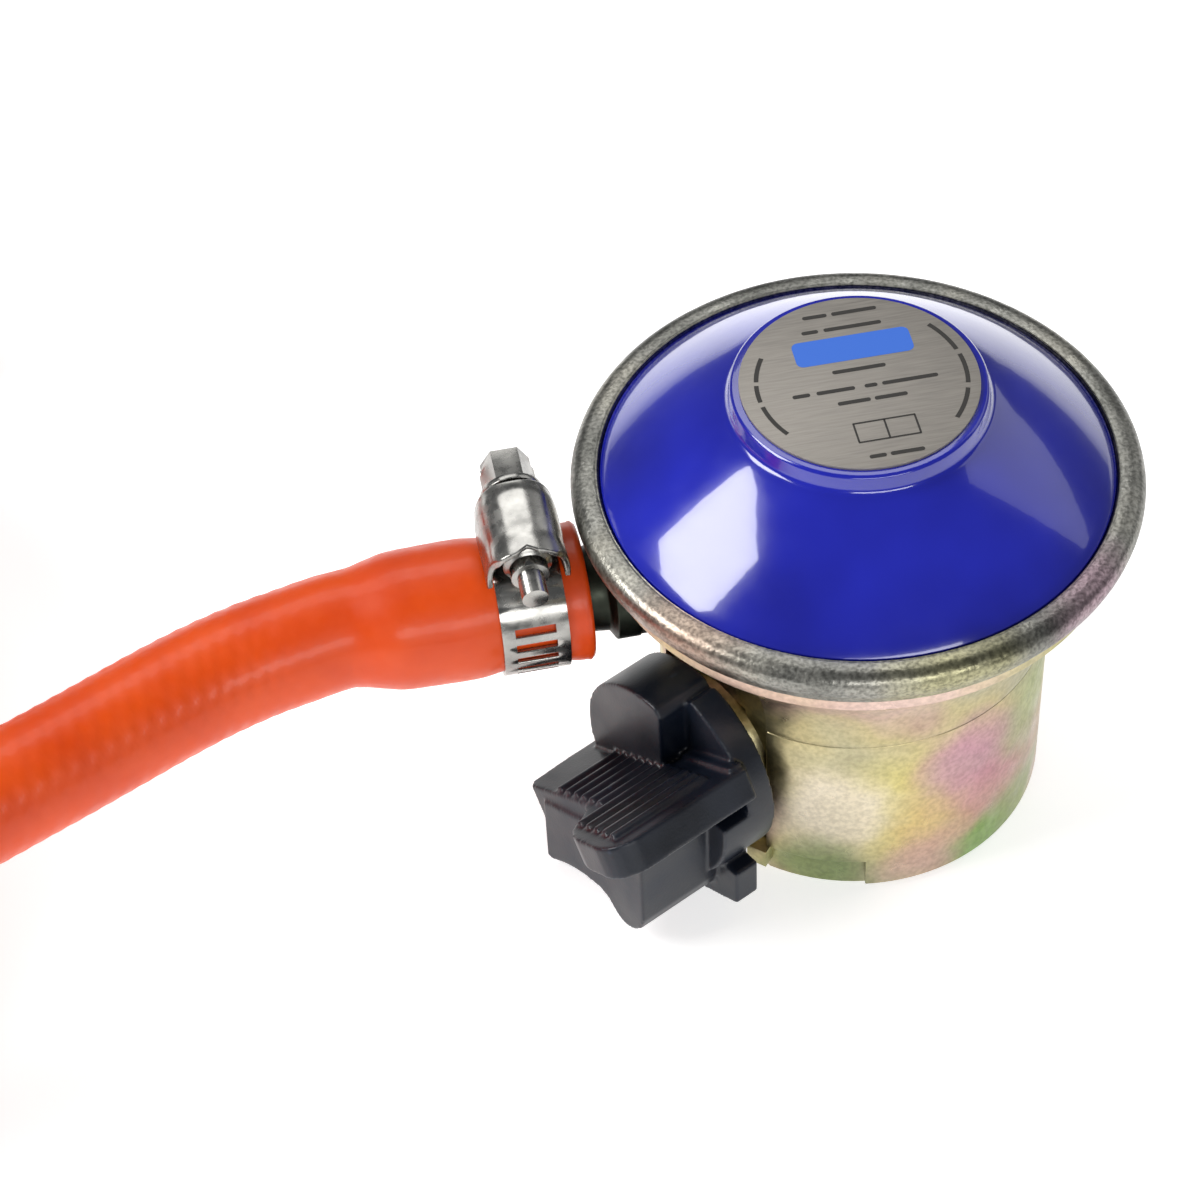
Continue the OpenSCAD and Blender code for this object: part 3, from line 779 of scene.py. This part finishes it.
@dataclass(frozen=True)
class Sweep:
    """A centreline with two directions across it, for rings of points round it."""

    line: np.ndarray
    sides: int

    def across(self) -> tuple[np.ndarray, np.ndarray]:
        """Give the level and the upward direction across the line at each of its points.

        Returns:
            Two arrays of unit vectors.
        """
        ahead = np.gradient(self.line, axis=0)
        ahead /= np.linalg.norm(ahead, axis=1)[:, None]
        level = np.cross([0, 0, 1.0], ahead)
        level /= np.linalg.norm(level, axis=1)[:, None]
        return level, np.cross(ahead, level)

    def angles(self) -> np.ndarray:
        """Give the angles of a ring's points."""
        return 2 * np.pi * np.arange(self.sides) / self.sides

    def rings(self, radii: np.ndarray) -> np.ndarray:
        """Give a ring round each point of the line.

        Args:
            radii: the radius by point of the line and by point of the ring.

        Returns:
            The ring points, in metres.
        """
        level, above = self.across()
        cos = np.cos(self.angles())[None, :, None]
        sin = np.sin(self.angles())[None, :, None]
        spokes = cos * level[:, None, :] + sin * above[:, None, :]
        return self.line[:, None, :] + radii[:, :, None] * spokes

    def plain(self, places: Sequence[tuple[int, float]]) -> np.ndarray:
        """Give round rings at chosen points of the line.

        Args:
            places: the number of each point and the radius there.

        Returns:
            The ring points one after another, in metres.
        """
        level, above = self.across()
        cos = np.cos(self.angles())[:, None]
        sin = np.sin(self.angles())[:, None]
        made = [self.line[i] + r * (cos * level[i] + sin * above[i]) for i, r in places]
        return np.array(made).reshape(-1, 3)

    def faces(self, levels: int) -> list[list[int]]:
        """Give the faces of a tube of stacked rings, closed at both ends.

        Args:
            levels: how many rings are stacked.

        Returns:
            Vertex numbers of each face.
        """
        i, k = np.meshgrid(np.arange(levels - 1), np.arange(self.sides), indexing="ij")
        a = i * self.sides + k
        b = i * self.sides + (k + 1) % self.sides
        made = np.stack([a, b, b + self.sides, a + self.sides], axis=-1).reshape(-1, 4).tolist()
        made.append(list(range(self.sides - 1, -1, -1)))
        made.append([(levels - 1) * self.sides + n for n in range(self.sides)])
        return made


@dataclass
class GasHose:
    """The rubber hose: stretched over the nozzle, free to the coil, wound down, its end free.

    The run's points are those of the CAD source. The coil is wound by a loop, from its top layer
    down. The length, that of the whole hose from cut end to cut end, is not used.
    """

    radius: float = 7.5 * MM
    bore: float = 4.0 * MM
    over_nozzle: float = 9.0 * MM
    pinched: float = 8.48 * MM
    nozzle_bore: float = 6.04 * MM
    start_x: float = -35.5 * MM
    nozzle_end_x: float = -60 * MM
    swell_end_x: float = -65.5 * MM
    clip_x: float = -43 * MM
    clip_w: float = 8.5 * MM
    nozzle_z: float = 39.5 * MM
    nozzle_run_mm: tuple[float, ...] = (-35.5, -42, -49, -56)
    run_mm: tuple[tuple[float, float, float], ...] = (
        (-64, 0, 39.5), (-66.5, 0, 39.5), (-69, -0.2, 39.3), (-73, -0.8, 38.9),
        (-78, -1.6, 38.4), (-84, -3.3, 38), (-90, -5.7, 37.8), (-96, -8.4, 37.6),
        (-102, -11.2, 37.5), (-108, -14, 37.5), (-114, -16.8, 37.5), (-121, -20.1, 37.6),
        (-128, -23.4, 37.8), (-136, -27.1, 38), (-144, -30.8, 38.2), (-152, -34.6, 38.3),
        (-162, -39.2, 38.3), (-172, -43.92, 38.3),
    )
    centre: Vector = field(default_factory=lambda: Vector((-204.8 * MM, 26.3 * MM, 0)))
    coil_r: float = 77.5 * MM
    low: float = 8.3 * MM
    layer: float = 15 * MM
    entry_deg: float = -65.0
    wound_deg: float = 925.0
    step_deg: float = 8.0
    ramps: tuple[float, float] = (240.0, 600.0)
    ramp_len: float = 90.0
    end_x: float = -114 * MM
    end_steps: int = 8
    length: float = 1.49
    track: list[list[float]] = field(default_factory=list)
    track_step: int = 20
    sides: int = 40
    ring_step: float = 0.5 * MM
    curve_steps: int = 24
    spread: int = 5
    braid_pitch: float = 2.5 * MM
    braid_starts: int = 8
    braid_depth: float = 0.07 * MM
    braid_shares: Flat = (0.7, 0.3)
    braid_calm: float = 0.15
    braid_from: float = 30 * MM
    braid_over: float = 15 * MM
    nozzle_depth: int = 24
    bore_depth: int = 56
    cut_edge: float = 0.3 * MM

    def coil_height(self, swept: float) -> float:
        """Give the height in the coil: three layers with a ramp down between each two.

        Args:
            swept: the angle wound so far, in degrees.

        Returns:
            The height in metres.
        """
        drops = sum(smoothstep((swept - start) / self.ramp_len) for start in self.ramps)
        return self.low + self.layer * (2 - drops)

    def corners(self) -> list[Vector]:
        """Give the points that the hose's centreline passes through.

        Returns:
            The points in metres: over the nozzle, the free run, the coil, the straight end.
        """
        points = [Vector((x * MM, 0, self.nozzle_z)) for x in self.nozzle_run_mm]
        points += [Vector(p) * MM for p in self.run_mm]
        steps = round(self.wound_deg / self.step_deg)
        for i in range(1, steps + 1):
            swept = self.wound_deg * i / steps
            height = self.coil_height(swept)
            points.append(self.centre + turned(self.entry_deg - swept, self.coil_r, height))
        last = points[-1].copy()
        straight = self.end_x - last.x
        parts = self.end_steps
        points += [last + Vector((straight * i / parts, 0, 0)) for i in range(1, parts + 1)]
        return points

    def line(self) -> np.ndarray:
        """Give a smooth centreline through the corners, with a point every ring step.

        Returns:
            The points in metres.
        """
        knots = np.array([list(p) for p in self.corners()])
        ends = np.vstack([2 * knots[0] - knots[1], knots, 2 * knots[-1] - knots[-2]])
        t = np.linspace(0, 1, self.curve_steps, endpoint=False)[:, None]
        fine = []
        for i in range(1, len(ends) - 2):
            a, b, c, d = ends[i - 1 : i + 3]
            bend = (2 * a - 5 * b + 4 * c - d) * t**2 + (3 * b - a - 3 * c + d) * t**3
            fine.append(0.5 * (2 * b + (c - a) * t + bend))
        dense = np.vstack(fine + [knots[-1:]])
        steps = np.linalg.norm(np.diff(dense, axis=0), axis=1)
        gone = np.concatenate([[0], np.cumsum(steps)])
        even = np.linspace(0, gone[-1], round(gone[-1] / self.ring_step) + 1)
        return np.column_stack([np.interp(even, gone, dense[:, k]) for k in range(3)])

    def girth(self, along: np.ndarray) -> np.ndarray:
        """Give the outer radius: stretched over the nozzle and pinched under the clip.

        Args:
            along: distances in metres from the cut end on the nozzle.

        Returns:
            The radius at each of them, in metres.
        """
        clip = self.start_x - self.clip_x
        half = self.clip_w / 2
        wide = self.over_nozzle
        cut_len = 0.4 * MM
        # A rounded cut edge, the clip's groove, a slight swell past it and the nozzle's end.
        shape = (
            (0, wide - 0.45 * MM),
            (cut_len, wide),
            (clip - half - 1.4 * MM, wide),
            (clip - half + 0.1 * MM, self.pinched),
            (clip + half - 0.1 * MM, self.pinched),
            (clip + half + 1.8 * MM, wide - 0.02 * MM),
            (clip + half + 4.5 * MM, wide + 0.08 * MM),
            (self.start_x - self.nozzle_end_x, wide - 0.1 * MM),
            (self.start_x - self.swell_end_x, self.radius),
        )
        sharp = np.interp(along, [place for place, _ in shape], [radius for _, radius in shape])
        padded = np.pad(sharp, self.spread, mode="edge")
        kernel = np.hanning(2 * self.spread + 1)
        soft = np.convolve(padded, kernel / kernel.sum(), mode="valid")
        return np.where(along < 2 * cut_len, sharp, soft)

    def ripples(self, along: np.ndarray, angles: np.ndarray) -> np.ndarray:
        """Give the height of the braid's ripples, which are calm over the nozzle.

        Args:
            along: distances in metres from the cut end on the nozzle.
            angles: the angles of a ring's points.

        Returns:
            The height by distance and by angle, in metres.
        """
        wave = (2 * np.pi * along / self.braid_pitch)[:, None]
        twist = self.braid_starts * angles[None, :]
        calm = np.clip((along - self.braid_from) / self.braid_over, self.braid_calm, 1)[:, None]
        first, second = self.braid_shares
        weave = first * np.cos(wave + twist) + second * np.cos(wave - twist)
        return self.braid_depth * calm * weave

    def build(self) -> Piece:
        """Sweep the hose with the braid's ripples, both cut ends and the bore behind them.

        Returns:
            The hose.
        """
        line = self.line()
        sweep = Sweep(line, self.sides)
        along = np.arange(len(line)) * self.ring_step
        radii = self.girth(along)[:, None] + self.ripples(along, sweep.angles())
        last = len(line) - 1
        near_end = (
            (self.nozzle_depth, self.nozzle_bore),
            (0, self.nozzle_bore),
            (0, self.over_nozzle - 4 * self.cut_edge),
        )
        far_end = (
            (last, self.radius - self.cut_edge),
            (last, self.bore + 0.2 * MM),
            (last - 1, self.bore),
            (last - self.bore_depth, self.bore),
        )
        outside = sweep.rings(radii)[:-1].reshape(-1, 3)
        stack = np.vstack([sweep.plain(near_end), outside, sweep.plain(far_end)])
        faces = sweep.faces(len(stack) // self.sides)
        hose = mesh_piece("gas_hose", stack, faces, sharp_deg=60)
        paint(hose, HOSE_RUBBER.material())
        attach(hose, HOUSING_BODY)
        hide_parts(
            "hose_cuff", "hose_run", "hose_coil", "hose_top_turn", "hose_tail", "hose_end"
        )
        self.track = line[:: self.track_step].tolist() + [line[-1].tolist()]
        LOG.info("gas_hose: %.3f m along its centreline", along[-1])
        return hose


@dataclass
class HoseTies:
    """Nylon ties round the coil's three layers, each with its ratchet head and cut tail."""

    hose: GasHose
    places_deg: tuple[float, ...] = (135, 245)
    thick: float = 0.8 * MM
    half_w: float = 2.4 * MM
    gap: float = 0.06 * MM
    off_floor: float = 0.02 * MM
    bend: int = 14
    head_out: float = 4 * MM
    head_in: float = 0.2 * MM
    head_half_w: float = 3.4 * MM
    head_z: Flat = (36 * MM, 41.5 * MM)
    tail_out: float = 2.6 * MM
    tail_in: float = 1.6 * MM
    tail_half_w: float = 2.2 * MM
    tail_z: Flat = (32 * MM, 36.5 * MM)

    def loop(self) -> tuple[list[Flat], list[Flat]]:
        """Give the strap's inner and outer outline: round at the top, flat under the coil.

        Returns:
            The two outlines, across the layers and upwards.
        """
        low = self.hose.low
        top = low + 2 * self.hose.layer
        reach = self.hose.radius + self.gap
        wide = reach + self.thick
        inner, outer = [], []
        for i in range(self.bend + 1):
            a = math.pi * i / self.bend
            inner.append((reach * math.cos(a), top + reach * math.sin(a)))
            outer.append((wide * math.cos(a), top + wide * math.sin(a)))
        for i in range(self.bend + 1):
            a = math.pi + math.pi * i / self.bend
            inner.append((reach * math.cos(a), low + min(reach, low - self.thick) * math.sin(a)))
            outer.append((wide * math.cos(a), low + (low - self.off_floor) * math.sin(a)))
        return inner, outer

    def block(self, x: Flat, half_w: float, z: Flat, at: int) -> tuple[list, list]:
        """Give a plain block.

        Args:
            x: its inner and outer side.
            half_w: half its width.
            z: its bottom and top.
            at: the number of its first vertex.

        Returns:
            Its points and faces.
        """
        points = [(a, b, c) for a in x for b in (-half_w, half_w) for c in z]
        sides = ((0, 1, 3, 2), (4, 6, 7, 5), (0, 4, 5, 1), (2, 3, 7, 6), (0, 2, 6, 4), (1, 5, 7, 3))
        return points, [tuple(at + v for v in side) for side in sides]

    def shape(self) -> tuple[list, list]:
        """Give one tie's points and faces, about the hose's middle.

        Returns:
            Points in metres and vertex numbers of each face.
        """
        inner, outer = self.loop()
        points, faces = [], []
        n = len(inner)
        for y in (-self.half_w, self.half_w):
            for ring in (inner, outer):
                points += [(x, y, z) for x, z in ring]
        for i in range(n):
            j = (i + 1) % n
            faces += [(i, j, n + j, n + i), (2 * n + i, 3 * n + i, 3 * n + j, 2 * n + j)]
            faces += [(i, 2 * n + i, 2 * n + j, j), (n + i, n + j, 3 * n + j, 3 * n + i)]
        side = -self.hose.radius - self.gap
        head = (side - self.thick - self.head_out, side - self.head_in)
        tail = (side - self.tail_out, side - self.tail_in)
        for x, half_w, z in (
            (head, self.head_half_w, self.head_z),
            (tail, self.tail_half_w, self.tail_z),
        ):
            more = self.block(x, half_w, z, len(points))
            points += more[0]
            faces += more[1]
        return points, faces

    def build(self) -> list[Piece]:
        """Wrap the ties round the coil.

        Returns:
            The ties.
        """
        made = []
        points, faces = self.shape()
        shift = Vector((self.hose.coil_r, 0, 0))
        for number, angle in enumerate(self.places_deg, start=1):
            spin = Matrix.Rotation(math.radians(angle), 4, "Z")
            turn = Matrix.Translation(self.hose.centre) @ spin
            placed = [turn @ (Vector(p) + shift) for p in points]
            tie = mesh_piece(f"hose_tie_{number}", placed, faces)
            soften(tie, 0.25)
            paint(tie, BLACK_NYLON.material())
            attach(tie, HOUSING_BODY)
            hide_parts("hose_ties")
            made.append(tie)
        return made


# ---------------------------------------------------------------- clip housings and label print


@dataclass
class ClipHousing:
    """The clip's pressed housing: an arch over the screw that flares into a wavy skirt."""

    name: str
    node: str
    place: Matrix
    hose_r: float
    band_t: float = 0.7 * MM
    worm_r: float = 3.1 * MM
    half_w: float = 5.3 * MM
    half_len: float = 5.95 * MM
    sheet: float = 0.75 * MM
    foot_gap: float = 0.1 * MM
    crown_gap: float = 1.65 * MM
    skirt: float = 0.5 * MM
    skirt_share: float = 0.28
    waist_at: float = 0.3
    waist_len: float = 0.1
    waist_in: float = 0.015
    rear_at: float = 0.8
    rear_in: float = 0.04
    side_power: float = 0.82
    crown_power: float = 0.72
    tongue: float = 0.9 * MM
    tongue_turns: float = 1.1
    steps: int = 28
    rows: int = 22
    edge_mm: float = 0.22
    sharp_deg: float = 50.0

    def outline(self, along: float, inset: float) -> list[Flat]:
        """Give the arch across the clip at one place along it.

        Args:
            along: the place, from nought at the tip end to one at the head end.
            inset: how far inside the outer face it lies, in metres.

        Returns:
            Points across the clip and upwards, in metres.
        """
        foot = self.hose_r + self.band_t + self.foot_gap
        top = self.hose_r + self.band_t + 2 * self.worm_r + self.crown_gap
        flare = 1 - smoothstep(along / self.skirt_share)
        waist = math.exp(-(((along - self.waist_at) / self.waist_len) ** 2))
        rear = smoothstep((along - self.rear_at) / (1 - self.rear_at))
        drawn_in = 1 - self.waist_in * waist - self.rear_in * rear
        wide = self.half_w * drawn_in - inset
        high = (top - foot) * drawn_in - inset
        made = []
        for i in range(self.steps + 1):
            t = math.pi * (i / self.steps - 0.5)
            x = wide * math.copysign(abs(math.sin(t)) ** self.side_power, t)
            z = foot
            if i not in (0, self.steps):
                z += high * math.cos(t) ** self.crown_power
            made.append((x, z + flare * self.skirt * abs(math.sin(t)) ** 3))
        return made

    def shape(self) -> tuple[list, list]:
        """Give the housing as one bent sheet with its own thickness.

        Returns:
            Points in metres, about the clip's middle, and vertex numbers of each face.
        """
        rows = self.rows
        points, faces = [], []
        for inset in (0.0, self.sheet):
            for k in range(rows + 1):
                along = k / rows
                y = -self.half_len + 2 * self.half_len * along
                for x, z in self.outline(along, inset):
                    wave = math.cos(2 * self.tongue_turns * math.pi * x / self.half_w)
                    points.append((x, y + max(0.0, self.tongue * (1 - along) * wave), z))
        n = self.steps + 1
        size = n * (rows + 1)
        for k in range(rows):
            for a in range(k * n, k * n + n - 1):
                faces.append((a, a + 1, a + n + 1, a + n))
                faces.append((size + a, size + a + n, size + a + n + 1, size + a + 1))
        for k in range(rows):
            for a in (k * n, k * n + n - 1):
                faces.append((a, a + n, size + a + n, size + a))
        for i in range(n - 1):
            for a in (i, rows * n + i):
                faces.append((a, a + 1, size + a + 1, size + a))
        return points, faces

    def build(self) -> Piece:
        """Make the housing in its place.

        Returns:
            The housing.
        """
        points, faces = self.shape()
        placed = [self.place @ Vector(p) for p in points]
        piece = mesh_piece(self.name, placed, faces, self.sharp_deg)
        soften(piece, self.edge_mm, self.sharp_deg, segments=3)
        paint(piece, BRIGHT_STEEL.material())
        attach(piece, HOUSING_BODY)
        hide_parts(self.node)
        return piece


@dataclass
class HoseClips:
    """The two hose clips: one on the nozzle, leaning a little, and one at the hose's free end."""

    hose: GasHose
    lean_deg: float = 4.0
    nozzle_r: float = 8.5 * MM
    free_r: float = 7.5 * MM
    free_mm: tuple[float, float, float] = (-128, 103.8, 8.3)

    def build(self) -> list[Piece]:
        """Make both pressed housings.

        Returns:
            The housing on the nozzle and the one at the free end.
        """
        on_nozzle = Matrix.Translation((self.hose.clip_x, 0, self.hose.nozzle_z))
        lean = Matrix.Rotation(math.radians(self.lean_deg), 4, "X")
        at_end = Matrix.Translation(Vector(self.free_mm) * MM)
        turn = Matrix.Rotation(math.pi, 4, "Z")
        first = ClipHousing("clip_a_skin", "clip_a_housing", on_nozzle @ lean, self.nozzle_r)
        second = ClipHousing("clip_b_skin", "clip_b_housing", at_end @ turn, self.free_r)
        return [first.build(), second.build()]


@dataclass
class LabelPrint:
    """Generic marks printed on the round plate: a plain blue bar and rows of thin dark rules."""

    face_z: float = 68.8 * MM
    ink: float = 0.03 * MM
    sunk: float = 0.1 * MM
    bar_mm: tuple[float, float, float, float] = (-6.8, 8.0, 3.8, 8.1)
    bar_corner_mm: float = 0.9
    rule_mm: float = 0.3
    rule_end_mm: float = 0.28
    rows_mm: tuple[tuple[float, tuple[Flat, ...]], ...] = (
        (12.2, ((-4.3, -1.2), (-0.6, 5.1))),
        (9.6, ((-5, -2.9), (-2.2, 5.1))),
        (2.1, ((-2.9, 3.8),)),
        (-1.0, ((-8.6, -6.4), (-5.6, -0.8), (0.4, 2), (2.6, 9.6))),
        (-3.3, ((-3.5, 0.6), (1.1, 5.2))),
        (-12.8, ((-1.9, 0.2), (0.7, 4.9))),
    )
    arcs: tuple[tuple[float, float, float], ...] = (
        (12.6, 149, 168),
        (12.6, 171, 184),
        (12.6, 188, 213),
        (13.2, 36, 12),
        (13.2, 8, -14),
        (13.2, -18, -41),
    )
    arc_steps: int = 8
    quarter_deg: int = 90
    corner_step_deg: int = 15
    frame_line_mm: float = 0.12
    frame_end_mm: float = 0.11
    frame_x_mm: Flat = (-2.6, 5.2)
    frame_y_mm: Flat = (-7.0, -10.2)
    frame_posts_mm: tuple[float, float, float] = (-2.5, 1.3, 5.1)

    def lay(self, name: str, shapes: Sequence[Sequence[Flat]], ink: Finish) -> Piece:
        """Lay flat shapes of ink on the plate.

        Args:
            name: the piece's name.
            shapes: outlines in millimetres.
            ink: the ink's finish.

        Returns:
            The new piece.
        """
        points, faces = [], []
        for shape in shapes:
            at, n = len(points), len(shape)
            for z in (self.face_z - self.sunk, self.face_z + self.ink):
                points += [(x * MM, y * MM, z) for x, y in shape]
            faces += [tuple(at + i for i in reversed(range(n)))]
            faces += [tuple(at + n + i for i in range(n))]
            for i in range(n):
                j = (i + 1) % n
                faces += [(at + i, at + j, at + n + j, at + n + i)]
        piece = mesh_piece(name, points, faces)
        paint(piece, ink.material())
        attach(piece, HOUSING_BODY)
        return piece

    def rounded(self, x0: float, x1: float, y0: float, y1: float, r: float) -> list[Flat]:
        """Give a rectangle with rounded corners.

        Args:
            x0: its left side.
            x1: its right side.
            y0: its lower side.
            y1: its upper side.
            r: the radius of its corners.

        Returns:
            Its outline, in the same unit.
        """
        corners = (
            (x1 - r, y0 + r, 270),
            (x1 - r, y1 - r, 0),
            (x0 + r, y1 - r, 90),
            (x0 + r, y0 + r, 180),
        )
        made = []
        for x, y, start in corners:
            for a in range(start, start + self.quarter_deg + 1, self.corner_step_deg):
                made.append((x + r * math.cos(math.radians(a)), y + r * math.sin(math.radians(a))))
        return made

    def arc(self, radius: float, start: float, stop: float) -> list[Flat]:
        """Give a curved rule.

        Args:
            radius: its radius about the plate's middle, in millimetres.
            start: where it begins, in degrees.
            stop: where it ends.

        Returns:
            Its outline in millimetres.
        """
        steps = self.arc_steps
        angles = [start + (stop - start) * i / steps for i in range(steps + 1)]
        outer = [tuple(turned(a, radius + self.rule_end_mm))[:2] for a in angles]
        inner = [tuple(turned(a, radius - self.rule_end_mm))[:2] for a in reversed(angles)]
        return outer + inner

    def build(self) -> list[Piece]:
        """Print the bar, the rules and the frame.

        Returns:
            The blue and the dark print.
        """
        bar = self.rounded(*self.bar_mm, self.bar_corner_mm)
        half, end = self.rule_mm, self.rule_end_mm
        rules = [
            self.rounded(a, b, y - half, y + half, end)
            for y, spans in self.rows_mm
            for a, b in spans
        ]
        rules += [self.arc(*arc) for arc in self.arcs]
        half, end = self.frame_line_mm, self.frame_end_mm
        top, bottom = self.frame_y_mm
        rules += [
            self.rounded(*self.frame_x_mm, y - half, y + half, end) for y in self.frame_y_mm
        ]
        rules += [
            self.rounded(x - half, x + half, bottom, top, end) for x in self.frame_posts_mm
        ]
        return [
            self.lay("label_print_blue", [bar], BLUE_INK),
            self.lay("label_print_black", rules, BLACK_INK),
        ]


# ---------------------------------------------------------------- CAD nodes that keep their shape


@dataclass
class Regulator:
    """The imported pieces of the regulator, with their finishes and softened edges.

    Each finish stands beside the radius of the edges in millimetres. A moulded piece has the
    grid and the rounds of its moulding instead.
    """

    finishes: dict[str, tuple[Finish, float]] = field(
        default_factory=lambda: {
            "body_casting": (BARREL_ZINC, 0.25),
            "barrel": (BARREL_ZINC, 0.2),
            "crimp_rim": (RIM_ZINC, 0.3),
            "top_cover": (COVER_ENAMEL, 0.45),
            "label_plate": (PLATE_ALUMINIUM, 0.08),
            "adjusting_screw": (BARREL_ZINC, 0.1),
            "switch_knob": (NAVY_NYLON, 0.0),
            "clip_a_band": (BRIGHT_STEEL, 0.28),
            "clip_b_band": (BRIGHT_STEEL, 0.28),
            "outlet_nozzle": (OLIVE_STEEL, 0.15),
            "nozzle_seal": (SEAL_RUBBER, 0.05),
            "socket_seal": (SEAL_RUBBER, 0.2),
            "shaft_seal": (SEAL_RUBBER, 0),
            "valve_pad": (SEAL_RUBBER, 0.1),
            "diaphragm": (SEAL_RUBBER, 0),
            "valve_connector": (TURNED_BRASS, 0.15),
        }
    )
    small_brass: tuple[str, ...] = (
        "valve_pusher",
        "cam_shaft",
        "shaft_bush",
        "inlet_jet",
        "valve_plunger",
        "diaphragm_stem",
        "relief_nut",
    )
    brass: tuple[Finish, float] = (TURNED_BRASS, 0.1)
    steel: tuple[Finish, float] = (BRIGHT_STEEL, 0.12)
    moulded: dict[str, tuple[float, int]] = field(
        default_factory=lambda: {"switch_knob": (0.25, 7)}
    )
    sharp_deg: float = 32.0

    def dress(self) -> None:
        """Give each visible CAD node its finish and soften its edges."""
        for name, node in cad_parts.items():
            if node.hide_render:
                continue
            plain = self.brass if name in self.small_brass else self.steel
            finish, edge = self.finishes.get(name, plain)
            paint(node, finish.material())
            shade(node, self.sharp_deg)
            if name in self.moulded:
                melt(node, *self.moulded[name])
            elif edge:
                soften(node, edge)
            LOG.info("%s: %s", name, finish.name)


def main() -> None:
    """Build the studio, the hose and the regulator in order."""
    logging.basicConfig(level=logging.INFO, format="%(message)s")
    studio = Studio()
    studio.camera()
    hose = GasHose()
    tube = hose.build()
    ties = HoseTies(hose).build()
    housings = HoseClips(hose).build()
    studio.floor()
    studio.light()
    prints = LabelPrint().build()
    for piece in [tube, *ties, *housings, *prints]:
        LOG.info("%s: %d faces", piece.name, len(piece.data.polygons))
    Regulator().dress()


if __name__ == "__main__":
    main()
